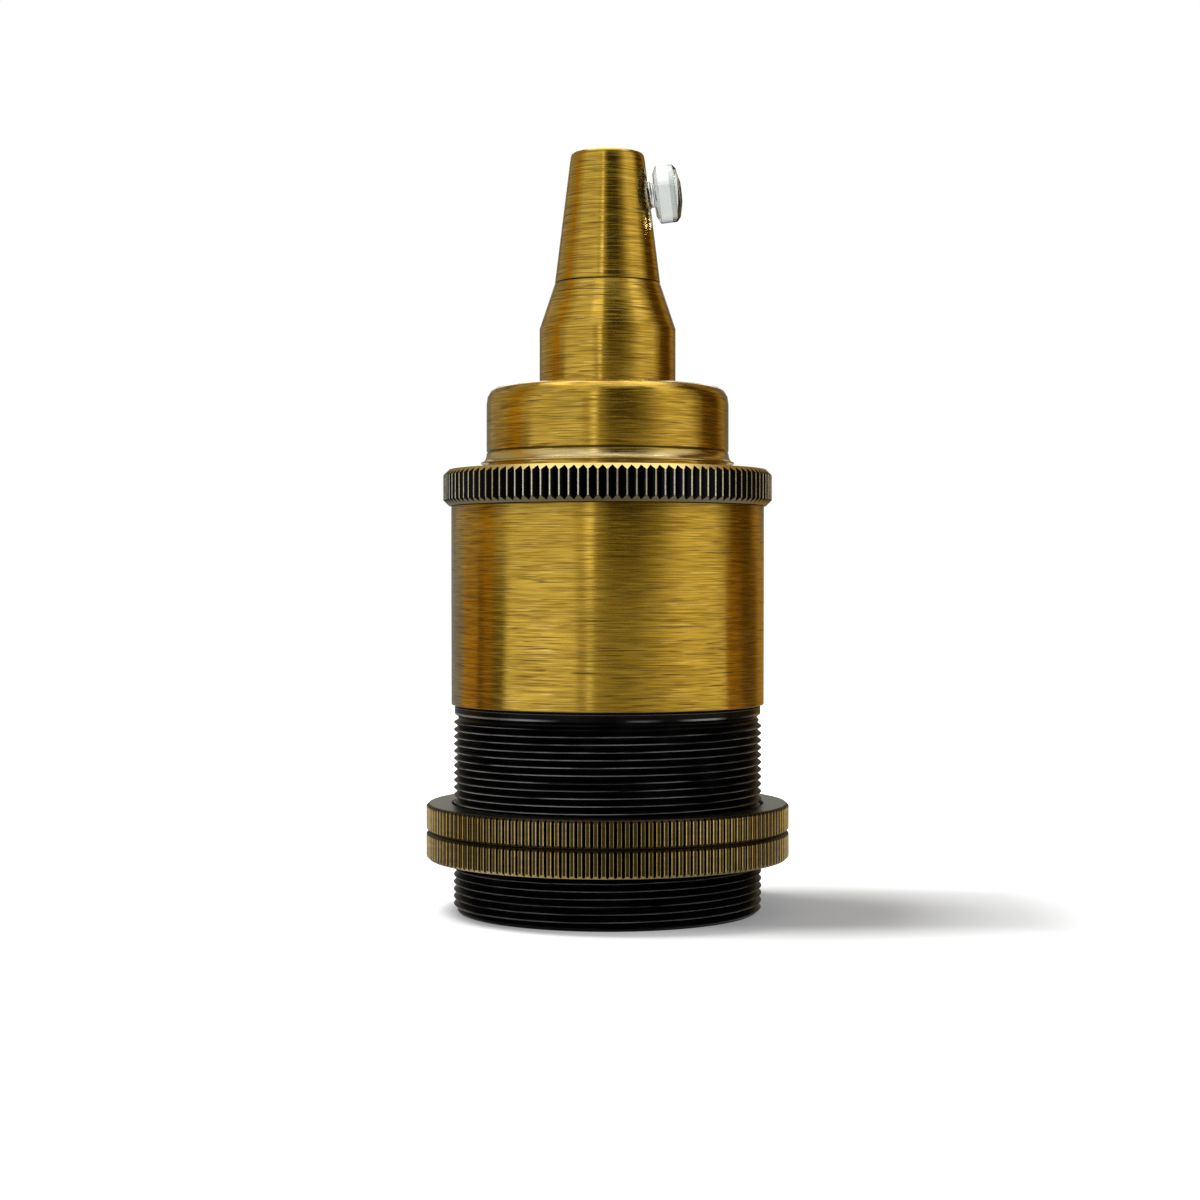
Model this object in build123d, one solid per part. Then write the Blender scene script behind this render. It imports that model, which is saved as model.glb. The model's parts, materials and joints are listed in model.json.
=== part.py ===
"""Brass E27 lamp holder with a threaded skirt, two shade rings and a conical cord grip.

Millimetres, +Z up. The origin is on the axis in the plane of the rim, the open
end that takes the lamp, so the holder stands on its rim with the cord grip on top.
The skirt's thread is a row of V-shaped rings with the real pitch, and the other fine
threads are plain cylinders at their crest or core radius.
"""
from build123d import *
from math import atan, cos, pi, sin, sqrt
import os

# Clearances between pieces
THREAD_GAP = 0.05       # radial, between two pieces that are screwed together
SEAT_GAP = 0.05         # axial, between faces that rest on each other across a joint
SHADE_RING_GAP = 0.15   # radial, shade ring to the skirt's thread crests
UNION_GAP = 0.3         # radial, union ring to what it turns around
CORE_GAP = 0.5          # radial, porcelain to the shell's bore
SHELL_FIT = 0.15        # radial, screw shell to the porcelain
SCREW_HOLE_GAP = 0.2    # radial, plain hole to the screw that passes through it
POCKET_GAP = 0.25       # each side, terminal or nut in its pocket
EDGE_BREAK = 0.15       # small chamfer on turned edges
CUT_OVER = 1.0          # length of a cutting shape beyond the face it cuts

# Outer shell
SKIRT_R = 20.0          # crest radius of the 40 mm shade thread
SKIRT_WALL = 1.6
SKIRT_THREAD_LENGTH = 25.05
SKIRT_THREAD_PITCH = 0.94
SKIRT_THREAD_DEPTH = 0.6    # the relief above it is as deep
RELIEF_LENGTH = 1.7
BARREL_STEP = 0.3       # barrel stands out this much from the thread's crests
BARREL_LENGTH = 25.65
SPIGOT_WALL = 1.05
SPIGOT_LENGTH = 2.7
RIM_CHAMFER = 0.4

# Shade rings
SHADE_RING_WIDTH = 3.4
SHADE_RING_HEIGHT = 3.5
SHADE_RING_SPACE = 0.1
SHADE_RING_BOTTOM = 6.9
SHADE_RING_CHAMFER = 0.4
SHADE_KNURL_PITCH = 0.961
SHADE_KNURL_LAND = 0.5     # share of the pitch left as flat ridge
SHADE_KNURL_DEPTH = 0.32

# Union ring
UNION_RING_WIDTH = 1.6
UNION_RING_HEIGHT = 4.65
UNION_RING_CHAMFER = 0.75
UNION_LIP = 1.0
UNION_KNURL_PITCH = 1.198
UNION_KNURL_LAND = 0.22
UNION_KNURL_DEPTH = 0.55

# Cap
CAP_R = 15.72
CAP_WALL = 1.0
CAP_TOP = 1.0
CAP_HEIGHT = 10.0      # from the flare's underside to the top
CAP_TOP_ROUND = 2.3
CAP_NECK_STEP = 0.17    # neck is this much inside the cap's side
CAP_FLANGE = 0.85
CAP_FLANGE_GAP = 0.45   # radial, flange to the union ring's bore
CAP_LIP_STEP = 0.71     # flare's lip stands out this much from the cap's side
CAP_LIP_EDGE = 0.15
CAP_FLARE_HEIGHT = 1.35
CAP_FLARE_GAP = 0.75    # from the union ring's top to the flare's underside
CAP_GROOVE_DEPTH = 0.12
CAP_GROOVE_WIDTH = 0.3

# Cord grip
GRIP_BASE_R = 8.83
GRIP_BASE_STRAIGHT = 7.55
GRIP_SHOULDER_HEIGHT = 5.95
GRIP_JOINT_R = 6.84
CONE_HEIGHT = 16.9
CONE_TOP_R = 4.75       # where the cone's slope would meet its top face
CONE_TOP_ROUND = 0.7
CONE_SOCKET_DEPTH = 6.4
CORD_CHAMBER_R = 3.8
CORD_MOUTH_R = 3.5
CORD_MOUTH_LENGTH = 2.4

# Clamp screw
CLAMP_HEIGHT = 11.45    # hole's centre on the cone, above the cone's foot
CLAMP_THREAD_R = 1.95
CLAMP_THREAD_GAP = 0.1
CLAMP_THREAD_LENGTH = 4.5
CLAMP_COUNTERSINK_R = 2.2
CLAMP_HEAD_R = 3.8
CLAMP_HEAD = 3.5
CLAMP_FOOT_R = 2.8         # head's flat end on the cone's side
CLAMP_FOOT_BEVEL = 0.5     # along the screw's axis
CLAMP_DOME = 0.9           # domed outer end, along the axis
CLAMP_DOME_EDGE = 0.5      # its steep edge, along the axis
CLAMP_DOME_R = 3.2         # where the steep edge meets the shallow top
CLAMP_FACE_R = 1.6
CLAMP_HEAD_GAP = 0.65
CLAMP_SLOT_WIDTH = 1.1
CLAMP_SLOT_DEPTH = 1.5
CLAMP_SLOT_TURN = 84

# Nipple, nuts and washer
NIPPLE_R = 4.95
NIPPLE_BORE_R = 3.9
NIPPLE_END = 1.0        # left free at each end
LOCKNUT_FLATS = 14.0
LOCKNUT_HEIGHT = 2.5
LOCKNUT_CHAMFER = 0.4
LOCK_WASHER_R = 8.0
LOCK_WASHER = 0.8
LOCK_WASHER_TEETH = 12
LOCK_WASHER_TOOTH = 1.2

# Mounting bracket
BRACKET_THICKNESS = 1.2
BRACKET_WIDTH = 12.4
BRACKET_BEND_R = 1.1    # outside of the strap's bends
BRACKET_GAP = 0.5       # radial, bracket's corners to the cap's bore
BRACKET_FOOT_LENGTH = 7.1
BRACKET_HOLE_GAP = 0.1  # radial, bridge hole to the nipple

# Porcelain
CORE_BOTTOM = 3.0
CORE_TOP = 43.0
CORE_CHAMFER = 1.0
CORE_FLOOR = 30.5

# Screw shell for an E27 lamp
LAMP_THREAD_PITCH = 3.629
LAMP_THREAD_TURNS = 5
LAMP_ROOT_R = 13.3
LAMP_THREAD_DEPTH = 1.1
LAMP_FLAT = 0.6
SHELL_SHEET = 0.3
SHELL_LIP = 1.6         # plain length below the first thread crest
SHELL_FLOOR_HOLE_R = 6.5
SHELL_FLOOR_SLOT = 9.0

# Contacts and terminals
POLE_INSET = 4.3        # contact screws and terminals, from the screw shell's bore inwards
LEAF_SHEET = 0.4
LEAF_WIDTH = 5.0
LEAF_DROP = 2.9
LEAF_TIP_HALF = 3.2
LEAF_FOOT_HALF = 3.2
LEAF_HOLE_R = 1.15
BUTTON_R = 2.3
BUTTON_HEAD = 0.9
BUTTON_ROUND = 0.54
BUTTON_SHANK_R = 1.0
BUTTON_SPREAD_R = 1.6
BUTTON_SPREAD = 0.5
TERMINAL_SIDE = 7.0
TERMINAL_DEPTH = 5.0    # set into the porcelain
TERMINAL_HEIGHT = 10.5
TERMINAL_TOP_WALL = 2.4
WIRE_HOLE_R = 1.3
TERMINAL_SCREW_LIFT = 0.5   # head above the block at rest

# Small machine screws
SCREW_R = 1.5
SCREW_HEAD_R = 2.7
SCREW_HEAD = 1.8
SCREW_SLOT_WIDTH = 0.8
SCREW_SLOT_DEPTH = 0.9
FOOT_SCREW_GAP = 0.3        # screw head to the bracket's leg
FOOT_SCREW_LENGTH = 10.4
SQUARE_NUT = 5.5
SQUARE_NUT_HEIGHT = 2.4
NUT_POCKET_DEPTH = 7.0      # below the porcelain's top, to the nut's centre
EARTH_SCREW_HEIGHT = 7.5    # above the porcelain's top
EARTH_SCREW_LENGTH = 3.4
EARTH_WASHER_R = 3.4
EARTH_WASHER = 0.6

# Radii that follow from the sizes above
SHELL_BORE_R = SKIRT_R - SKIRT_WALL
SKIRT_ROOT_R = SKIRT_R - SKIRT_THREAD_DEPTH
BARREL_R = SKIRT_R + BARREL_STEP
SPIGOT_R = SHELL_BORE_R + SPIGOT_WALL
SHADE_BORE_R = SKIRT_R + SHADE_RING_GAP
SHADE_RING_R = SHADE_BORE_R + SHADE_RING_WIDTH
UNION_BORE_R = SPIGOT_R + UNION_GAP
UNION_RING_R = UNION_BORE_R + UNION_RING_WIDTH
CAP_NECK_R = CAP_R - CAP_NECK_STEP
CAP_LIP_R = CAP_R + CAP_LIP_STEP
CAP_BORE_R = CAP_NECK_R - CAP_WALL
CAP_FLANGE_R = UNION_BORE_R - CAP_FLANGE_GAP
NIPPLE_HOLE_R = NIPPLE_R + THREAD_GAP
CORE_R = SHELL_BORE_R - CORE_GAP
LAMP_CREST_R = LAMP_ROOT_R - LAMP_THREAD_DEPTH
SHELL_OUTER_R = LAMP_ROOT_R + SHELL_SHEET
CORE_BORE_R = SHELL_OUTER_R + SHELL_FIT
SCREW_HOLE_R = SCREW_R + SCREW_HOLE_GAP
TAPPED_HOLE_R = SCREW_R + THREAD_GAP
POLE_OFFSET = LAMP_ROOT_R - POLE_INSET

# Heights that follow from the sizes above
RELIEF_BOTTOM = SKIRT_THREAD_LENGTH
BARREL_BOTTOM = RELIEF_BOTTOM + RELIEF_LENGTH
BARREL_TOP = BARREL_BOTTOM + BARREL_LENGTH
SPIGOT_TOP = BARREL_TOP + SPIGOT_LENGTH
FLANGE_BOTTOM = SPIGOT_TOP + SEAT_GAP
FLANGE_TOP = FLANGE_BOTTOM + CAP_FLANGE
UNION_BOTTOM = BARREL_TOP + SEAT_GAP
UNION_TOP = UNION_BOTTOM + UNION_RING_HEIGHT
UNION_LIP_BOTTOM = UNION_TOP - UNION_LIP
FLARE_BOTTOM = UNION_TOP + CAP_FLARE_GAP
FLARE_TOP = FLARE_BOTTOM + CAP_FLARE_HEIGHT
CAP_TOP_Z = FLARE_BOTTOM + CAP_HEIGHT
SHOULDER_BOTTOM = CAP_TOP_Z + GRIP_BASE_STRAIGHT
CONE_BOTTOM = SHOULDER_BOTTOM + GRIP_SHOULDER_HEIGHT
CONE_TOP_Z = CONE_BOTTOM + CONE_HEIGHT
CONE_SLOPE = (GRIP_JOINT_R - CONE_TOP_R) / CONE_HEIGHT
CAP_NUT_TOP = CAP_TOP_Z - CAP_TOP - LOCK_WASHER
BRIDGE_TOP = CAP_NUT_TOP - LOCKNUT_HEIGHT
BRIDGE_BOTTOM = BRIDGE_TOP - BRACKET_THICKNESS
BRACKET_NUT_BOTTOM = BRIDGE_BOTTOM - LOCKNUT_HEIGHT
TERMINAL_BOTTOM = CORE_TOP - TERMINAL_DEPTH
TERMINAL_TOP = TERMINAL_BOTTOM + TERMINAL_HEIGHT
SHELL_FLOOR_BOTTOM = CORE_FLOOR - SHELL_SHEET

# Bracket's places across, so that its corners stay inside the cap's bore
BRACKET_HALF_SPAN = sqrt((CAP_BORE_R - BRACKET_GAP) ** 2 - (BRACKET_WIDTH / 2) ** 2)
LEG_INNER_X = BRACKET_HALF_SPAN - BRACKET_THICKNESS
FOOT_SCREW_X = LEG_INNER_X - SCREW_HEAD_R - FOOT_SCREW_GAP

BOTTOM = (Align.CENTER, Align.CENTER, Align.MIN)
TOP = (Align.CENTER, Align.CENTER, Align.MAX)


def turned(outline):
    """Turn a closed outline of radius and height about the Z axis."""
    return revolve(Plane.XZ * make_face(outline), Axis.Z)


def turned_points(*points):
    return turned(Polyline(*points, close=True))


def tube(outer_radius, inner_radius, bottom, top):
    return turned_points(
        (inner_radius, bottom), (outer_radius, bottom), (outer_radius, top), (inner_radius, top)
    )


def rod(radius, bottom, top):
    return Pos(0, 0, bottom) * Cylinder(radius, top - bottom, align=BOTTOM)


def knurled_prism(radius, depth, pitch, land, bottom, top):
    """Prism whose outline is a ring of straight V grooves between narrow flat ridges."""
    teeth = round(2 * pi * radius / pitch)
    tooth_angle = 2 * pi / teeth
    points = []
    for tooth in range(teeth):
        middle = tooth * tooth_angle
        for side in (-1, 1):
            corner = middle + side * land * tooth_angle / 2
            points.append((radius * cos(corner), radius * sin(corner)))
        valley = middle + tooth_angle / 2
        points.append(((radius - depth) * cos(valley), (radius - depth) * sin(valley)))
    outline = make_face(Polyline(*points, close=True))
    return Pos(0, 0, bottom) * extrude(outline, top - bottom)


def slotted_screw(length):
    """Cheese-head screw along +Z: the seat under its head is at z 0 and the head is above."""
    head = Cylinder(SCREW_HEAD_R, SCREW_HEAD, align=BOTTOM)
    head = chamfer(head.edges().group_by(Axis.Z)[-1], EDGE_BREAK)
    slot = Pos(0, 0, SCREW_HEAD) * Box(3 * SCREW_HEAD_R, SCREW_SLOT_WIDTH, 2 * SCREW_SLOT_DEPTH)
    shank = Cylinder(SCREW_R, length, align=TOP)
    shank = chamfer(shank.edges().group_by(Axis.Z)[0], EDGE_BREAK)
    return head - slot + shank


def hexagon_nut(bottom):
    body = extrude(RegularPolygon(LOCKNUT_FLATS / 2, 6, major_radius=False), LOCKNUT_HEIGHT)
    blank = Cylinder(LOCKNUT_FLATS / 2 / cos(pi / 6), LOCKNUT_HEIGHT, align=BOTTOM)
    rounded = chamfer(blank.edges(), LOCKNUT_CHAMFER)
    hole = Cylinder(NIPPLE_HOLE_R, 3 * LOCKNUT_HEIGHT)
    return Pos(0, 0, bottom) * ((body & rounded) - hole)


# Outer shell: threaded skirt, relief, barrel and the spigot under the union ring
def make_outer_shell():
    rings = int(SKIRT_THREAD_LENGTH / SKIRT_THREAD_PITCH)
    thread = []
    for ring in range(rings):
        valley = RELIEF_BOTTOM - (rings - ring) * SKIRT_THREAD_PITCH
        thread += [(SKIRT_ROOT_R, valley), (SKIRT_R, valley + SKIRT_THREAD_PITCH / 2)]
    return turned_points(
        (SHELL_BORE_R, RIM_CHAMFER),
        (SHELL_BORE_R + RIM_CHAMFER, 0),
        (SKIRT_ROOT_R, 0),
        *thread,
        (SKIRT_ROOT_R, RELIEF_BOTTOM),
        (SKIRT_R, BARREL_BOTTOM),
        (BARREL_R - EDGE_BREAK, BARREL_BOTTOM),
        (BARREL_R, BARREL_BOTTOM + EDGE_BREAK),
        (BARREL_R, BARREL_TOP),
        (SPIGOT_R, BARREL_TOP),
        (SPIGOT_R, SPIGOT_TOP - EDGE_BREAK),
        (SPIGOT_R - EDGE_BREAK, SPIGOT_TOP),
        (SHELL_BORE_R, SPIGOT_TOP),
    )


# Shade rings: two alike, one above the other on the skirt
def make_shade_ring(bottom):
    top = bottom + SHADE_RING_HEIGHT
    blank = turned_points(
        (SHADE_BORE_R, bottom + EDGE_BREAK),
        (SHADE_BORE_R + EDGE_BREAK, bottom),
        (SHADE_RING_R - SHADE_RING_CHAMFER, bottom),
        (SHADE_RING_R, bottom + SHADE_RING_CHAMFER),
        (SHADE_RING_R, top - SHADE_RING_CHAMFER),
        (SHADE_RING_R - SHADE_RING_CHAMFER, top),
        (SHADE_BORE_R + EDGE_BREAK, top),
        (SHADE_BORE_R, top - EDGE_BREAK),
    )
    knurl = knurled_prism(
        SHADE_RING_R, SHADE_KNURL_DEPTH, SHADE_KNURL_PITCH, SHADE_KNURL_LAND, bottom, top
    )
    return blank & knurl


# Union ring: turns on the spigot and traps the cap's flange under its lip
def make_union_ring():
    lip_hole = CAP_NECK_R + UNION_GAP
    blank = turned_points(
        (UNION_BORE_R, UNION_BOTTOM),
        (UNION_RING_R - UNION_RING_CHAMFER, UNION_BOTTOM),
        (UNION_RING_R, UNION_BOTTOM + UNION_RING_CHAMFER),
        (UNION_RING_R, UNION_TOP - UNION_RING_CHAMFER),
        (UNION_RING_R - UNION_RING_CHAMFER, UNION_TOP),
        (lip_hole, UNION_TOP),
        (lip_hole, UNION_LIP_BOTTOM),
        (UNION_BORE_R, UNION_LIP_BOTTOM),
    )
    knurl = knurled_prism(
        UNION_RING_R, UNION_KNURL_DEPTH, UNION_KNURL_PITCH, UNION_KNURL_LAND,
        UNION_BOTTOM, UNION_TOP,
    )
    return blank & knurl


# Cap: dome with a flared foot, a neck through the union ring and a flange below its lip
def make_cap():
    flare_foot = (CAP_LIP_R, FLARE_BOTTOM + CAP_LIP_EDGE)
    flare_end = (CAP_R, FLARE_TOP)
    groove_top = FLARE_TOP + CAP_GROOVE_WIDTH
    below = Polyline(
        flare_foot,
        (CAP_LIP_R, FLARE_BOTTOM),
        (CAP_NECK_R, FLARE_BOTTOM),
        (CAP_NECK_R, FLANGE_TOP),
        (CAP_FLANGE_R, FLANGE_TOP),
        (CAP_FLANGE_R, FLANGE_BOTTOM),
        (CAP_BORE_R, FLANGE_BOTTOM),
        (CAP_BORE_R, CAP_TOP_Z - CAP_TOP),
        (NIPPLE_HOLE_R, CAP_TOP_Z - CAP_TOP),
        (NIPPLE_HOLE_R, CAP_TOP_Z),
        (CAP_R - CAP_TOP_ROUND, CAP_TOP_Z),
    )
    top_round = RadiusArc(
        (CAP_R - CAP_TOP_ROUND, CAP_TOP_Z), (CAP_R, CAP_TOP_Z - CAP_TOP_ROUND), CAP_TOP_ROUND
    )
    side = Polyline(
        (CAP_R, CAP_TOP_Z - CAP_TOP_ROUND),
        (CAP_R, groove_top),
        (CAP_R - CAP_GROOVE_DEPTH, (FLARE_TOP + groove_top) / 2),
        flare_end,
    )
    flare = TangentArc(flare_end, flare_foot, tangent=(0, -1))
    return turned(below + top_round + side + flare)


# Cord grip: stepped base screwed on the nipple, and the cone above it
def make_grip_base():
    return turned_points(
        (NIPPLE_HOLE_R, CAP_TOP_Z),
        (GRIP_BASE_R - EDGE_BREAK, CAP_TOP_Z),
        (GRIP_BASE_R, CAP_TOP_Z + EDGE_BREAK),
        (GRIP_BASE_R, SHOULDER_BOTTOM),
        (GRIP_JOINT_R, CONE_BOTTOM - EDGE_BREAK),
        (GRIP_JOINT_R - EDGE_BREAK, CONE_BOTTOM),
        (NIPPLE_HOLE_R, CONE_BOTTOM),
    )


def clamp_frame():
    """Place on the cone's wall with its Z axis out along the clamp screw."""
    wall_r = GRIP_JOINT_R - CONE_SLOPE * CLAMP_HEIGHT
    tilt = atan(CONE_SLOPE)
    return Plane(
        origin=(wall_r, 0, CONE_BOTTOM + CLAMP_HEIGHT),
        x_dir=(0, 1, 0),
        z_dir=(cos(tilt), 0, sin(tilt)),
    )


def make_grip_cone():
    socket_top = CONE_BOTTOM + CONE_SOCKET_DEPTH
    mouth_bottom = CONE_TOP_Z - CORD_MOUTH_LENGTH
    cone = turned_points(
        (NIPPLE_HOLE_R, CONE_BOTTOM),
        (GRIP_JOINT_R - EDGE_BREAK, CONE_BOTTOM),
        (GRIP_JOINT_R - CONE_SLOPE * EDGE_BREAK, CONE_BOTTOM + EDGE_BREAK),
        (CONE_TOP_R, CONE_TOP_Z),
        (CORD_MOUTH_R, CONE_TOP_Z),
        (CORD_MOUTH_R, mouth_bottom),
        (CORD_CHAMBER_R, mouth_bottom),
        (CORD_CHAMBER_R, socket_top),
        (NIPPLE_HOLE_R, socket_top),
    )
    top_rim = cone.edges().group_by(Axis.Z)[-1].sort_by(SortBy.RADIUS)[-1]
    cone = fillet(top_rim, CONE_TOP_ROUND)
    countersink = CLAMP_COUNTERSINK_R - CLAMP_THREAD_R
    hole = Cylinder(CLAMP_THREAD_R + CLAMP_THREAD_GAP, 2 * (CLAMP_HEAD_GAP + CORD_CHAMBER_R))
    funnel = Pos(0, 0, countersink) * Cone(
        CLAMP_THREAD_R, CLAMP_COUNTERSINK_R + countersink, 2 * countersink, align=TOP
    )
    return cone - clamp_frame() * (hole + funnel)


# Clamp screw: clear plastic, with a chamfered head and a screwdriver slot
def make_clamp_screw():
    dome_bottom = CLAMP_HEAD - CLAMP_DOME
    head = turned_points(
        (0, 0),
        (CLAMP_FOOT_R, 0),
        (CLAMP_HEAD_R, CLAMP_FOOT_BEVEL),
        (CLAMP_HEAD_R, dome_bottom),
        (CLAMP_DOME_R, dome_bottom + CLAMP_DOME_EDGE),
        (CLAMP_FACE_R, CLAMP_HEAD),
        (0, CLAMP_HEAD),
    )
    slot = Box(3 * CLAMP_HEAD_R, CLAMP_SLOT_WIDTH, 2 * CLAMP_SLOT_DEPTH)
    head -= Pos(0, 0, CLAMP_HEAD) * Rot(0, 0, CLAMP_SLOT_TURN) * slot
    shank = Cylinder(CLAMP_THREAD_R, CLAMP_THREAD_LENGTH, align=TOP)
    shank = chamfer(shank.edges().group_by(Axis.Z)[0], EDGE_BREAK)
    return clamp_frame() * Pos(0, 0, CLAMP_HEAD_GAP) * (head + shank)


# Nipple, washer and locknuts that clamp grip, cap and bracket together
def make_threaded_nipple():
    bottom = BRACKET_NUT_BOTTOM - NIPPLE_END
    top = CONE_BOTTOM + CONE_SOCKET_DEPTH - NIPPLE_END
    return turned_points(
        (NIPPLE_BORE_R, bottom),
        (NIPPLE_R - EDGE_BREAK, bottom),
        (NIPPLE_R, bottom + EDGE_BREAK),
        (NIPPLE_R, top - EDGE_BREAK),
        (NIPPLE_R - EDGE_BREAK, top),
        (NIPPLE_BORE_R, top),
    )


def make_lock_washer():
    washer = tube(LOCK_WASHER_R, NIPPLE_R + SCREW_HOLE_GAP, CAP_NUT_TOP, CAP_NUT_TOP + LOCK_WASHER)
    notch = Box(LOCK_WASHER_TOOTH, LOCK_WASHER_TOOTH, 3 * LOCK_WASHER)
    for place in PolarLocations(LOCK_WASHER_R, LOCK_WASHER_TEETH):
        washer -= Pos(0, 0, CAP_NUT_TOP) * place * notch
    return washer


# Mounting bracket: bridge under the cap's nut, two legs and two feet on the porcelain
def make_mounting_bracket():
    half = BRACKET_HALF_SPAN
    foot_end = half - BRACKET_FOOT_LENGTH
    foot_top = CORE_TOP + BRACKET_THICKNESS
    strap = Polyline(
        (-foot_end, CORE_TOP), (-half, CORE_TOP), (-half, BRIDGE_TOP), (half, BRIDGE_TOP),
        (half, CORE_TOP), (foot_end, CORE_TOP), (foot_end, foot_top), (LEG_INNER_X, foot_top),
        (LEG_INNER_X, BRIDGE_BOTTOM), (-LEG_INNER_X, BRIDGE_BOTTOM),
        (-LEG_INNER_X, foot_top), (-foot_end, foot_top),
        close=True,
    )
    bracket = extrude(Plane.XZ * make_face(strap), BRACKET_WIDTH / 2, both=True)
    corners = bracket.edges().filter_by(Axis.Y)
    outer_corners = corners.filter_by(
        lambda edge: abs(abs(edge.center().X) - half) < THREAD_GAP
    )
    bracket = fillet(outer_corners, BRACKET_BEND_R)
    bracket -= rod(NIPPLE_R + BRACKET_HOLE_GAP, BRIDGE_BOTTOM - CUT_OVER, BRIDGE_TOP + CUT_OVER)
    for side in (-1, 1):
        bracket -= Pos(side * FOOT_SCREW_X, 0, CORE_TOP) * Cylinder(SCREW_HOLE_R, 4 * BRACKET_THICKNESS)
    earth_hole = Rot(0, 90, 0) * Cylinder(TAPPED_HOLE_R, 4 * BRACKET_THICKNESS)
    return bracket - Pos(half, 0, CORE_TOP + EARTH_SCREW_HEIGHT) * earth_hole


def earth_frame():
    """Seat of the earth screw's head on its washer, with the Z axis pointing inwards."""
    seat_x = LEG_INNER_X - EARTH_WASHER
    return Plane(
        origin=(seat_x, 0, CORE_TOP + EARTH_SCREW_HEIGHT), x_dir=(0, 1, 0), z_dir=(-1, 0, 0)
    )


def make_earth_screw():
    return earth_frame() * slotted_screw(EARTH_SCREW_LENGTH)


def make_earth_washer():
    ring = Cylinder(EARTH_WASHER_R, EARTH_WASHER, align=TOP) - Cylinder(SCREW_HOLE_R, 4 * EARTH_WASHER)
    return earth_frame() * ring


# Porcelain: bored for the screw shell below, with terminals and bracket feet on top
def make_ceramic_body():
    body = rod(CORE_R, CORE_BOTTOM, CORE_TOP)
    body = chamfer(body.edges().filter_by(GeomType.CIRCLE), CORE_CHAMFER)
    body -= rod(CORE_BORE_R, CORE_BOTTOM - CUT_OVER, CORE_FLOOR)
    pocket_side = TERMINAL_SIDE + 2 * POCKET_GAP
    for side in (-1, 1):
        pole = Pos(0, side * POLE_OFFSET, TERMINAL_BOTTOM)
        body -= pole * Box(pocket_side, pocket_side, 2 * TERMINAL_DEPTH, align=BOTTOM)
        body -= pole * Cylinder(SCREW_HOLE_R, 2 * (TERMINAL_BOTTOM - CORE_FLOOR + CUT_OVER))
        foot = Pos(side * FOOT_SCREW_X, 0, CORE_TOP)
        body -= foot * Cylinder(SCREW_HOLE_R, FOOT_SCREW_LENGTH, align=TOP)
        body -= nut_pocket(side)
    return body


def nut_pocket(side):
    """Pocket open at the porcelain's side, from just inside the nut outwards."""
    inner_x = FOOT_SCREW_X - SQUARE_NUT / 2 - POCKET_GAP
    outer_x = CORE_R + CUT_OVER
    size = Box(
        outer_x - inner_x, SQUARE_NUT + 2 * POCKET_GAP, SQUARE_NUT_HEIGHT + 2 * POCKET_GAP
    )
    return Pos(side * (inner_x + outer_x) / 2, 0, CORE_TOP - NUT_POCKET_DEPTH) * size


def make_bracket_screw(side):
    seat = Pos(side * FOOT_SCREW_X, 0, CORE_TOP + BRACKET_THICKNESS)
    return seat * slotted_screw(FOOT_SCREW_LENGTH)


def make_bracket_nut(side):
    nut = Box(SQUARE_NUT, SQUARE_NUT, SQUARE_NUT_HEIGHT) - Cylinder(TAPPED_HOLE_R, 2 * SQUARE_NUT_HEIGHT)
    seat_height = CORE_TOP - NUT_POCKET_DEPTH + POCKET_GAP
    return Pos(side * FOOT_SCREW_X, 0, seat_height) * nut


# Screw shell: rolled thread with small flats on its crests, closed by a slotted floor
def make_screw_shell():
    first_crest = SHELL_FLOOR_BOTTOM - LAMP_THREAD_PITCH * (LAMP_THREAD_TURNS + 0.5)
    shell_bottom = first_crest - SHELL_LIP - LAMP_THREAD_PITCH / 4
    inner = [(LAMP_ROOT_R, shell_bottom)]
    for turn in range(LAMP_THREAD_TURNS):
        crest = first_crest + turn * LAMP_THREAD_PITCH
        inner += [
            (LAMP_ROOT_R, crest - LAMP_THREAD_PITCH / 2 + LAMP_FLAT / 2),
            (LAMP_CREST_R, crest - LAMP_FLAT / 2),
            (LAMP_CREST_R, crest + LAMP_FLAT / 2),
            (LAMP_ROOT_R, crest + LAMP_THREAD_PITCH / 2 - LAMP_FLAT / 2),
        ]
    inner.append((LAMP_ROOT_R, SHELL_FLOOR_BOTTOM))
    outer = [(radius + SHELL_SHEET, height) for radius, height in reversed(inner[:-1])]
    floor = [
        (SHELL_FLOOR_HOLE_R, SHELL_FLOOR_BOTTOM),
        (SHELL_FLOOR_HOLE_R, CORE_FLOOR),
        (SHELL_OUTER_R, CORE_FLOOR),
    ]
    shell = turned_points(*inner, *floor, *outer)
    slot = Box(SHELL_FLOOR_SLOT, 2 * SHELL_FLOOR_HOLE_R, 4 * SHELL_SHEET)
    slot = Pos(0, POLE_OFFSET, CORE_FLOOR) * slot
    slot &= rod(
        LAMP_ROOT_R - SHELL_SHEET, SHELL_FLOOR_BOTTOM - CUT_OVER, CORE_FLOOR + CUT_OVER
    )
    screw_hole = Pos(0, -POLE_OFFSET, CORE_FLOOR) * Cylinder(SCREW_HOLE_R, 4 * SHELL_SHEET)
    return shell - slot - screw_hole


def make_pole_screw(side, seat_height):
    """Screw from inside the socket up through the porcelain into a terminal block."""
    length = TERMINAL_BOTTOM + TERMINAL_DEPTH - SCREW_HEAD - seat_height
    return Pos(0, side * POLE_OFFSET, seat_height) * Rot(180, 0, 0) * slotted_screw(length)


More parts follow.
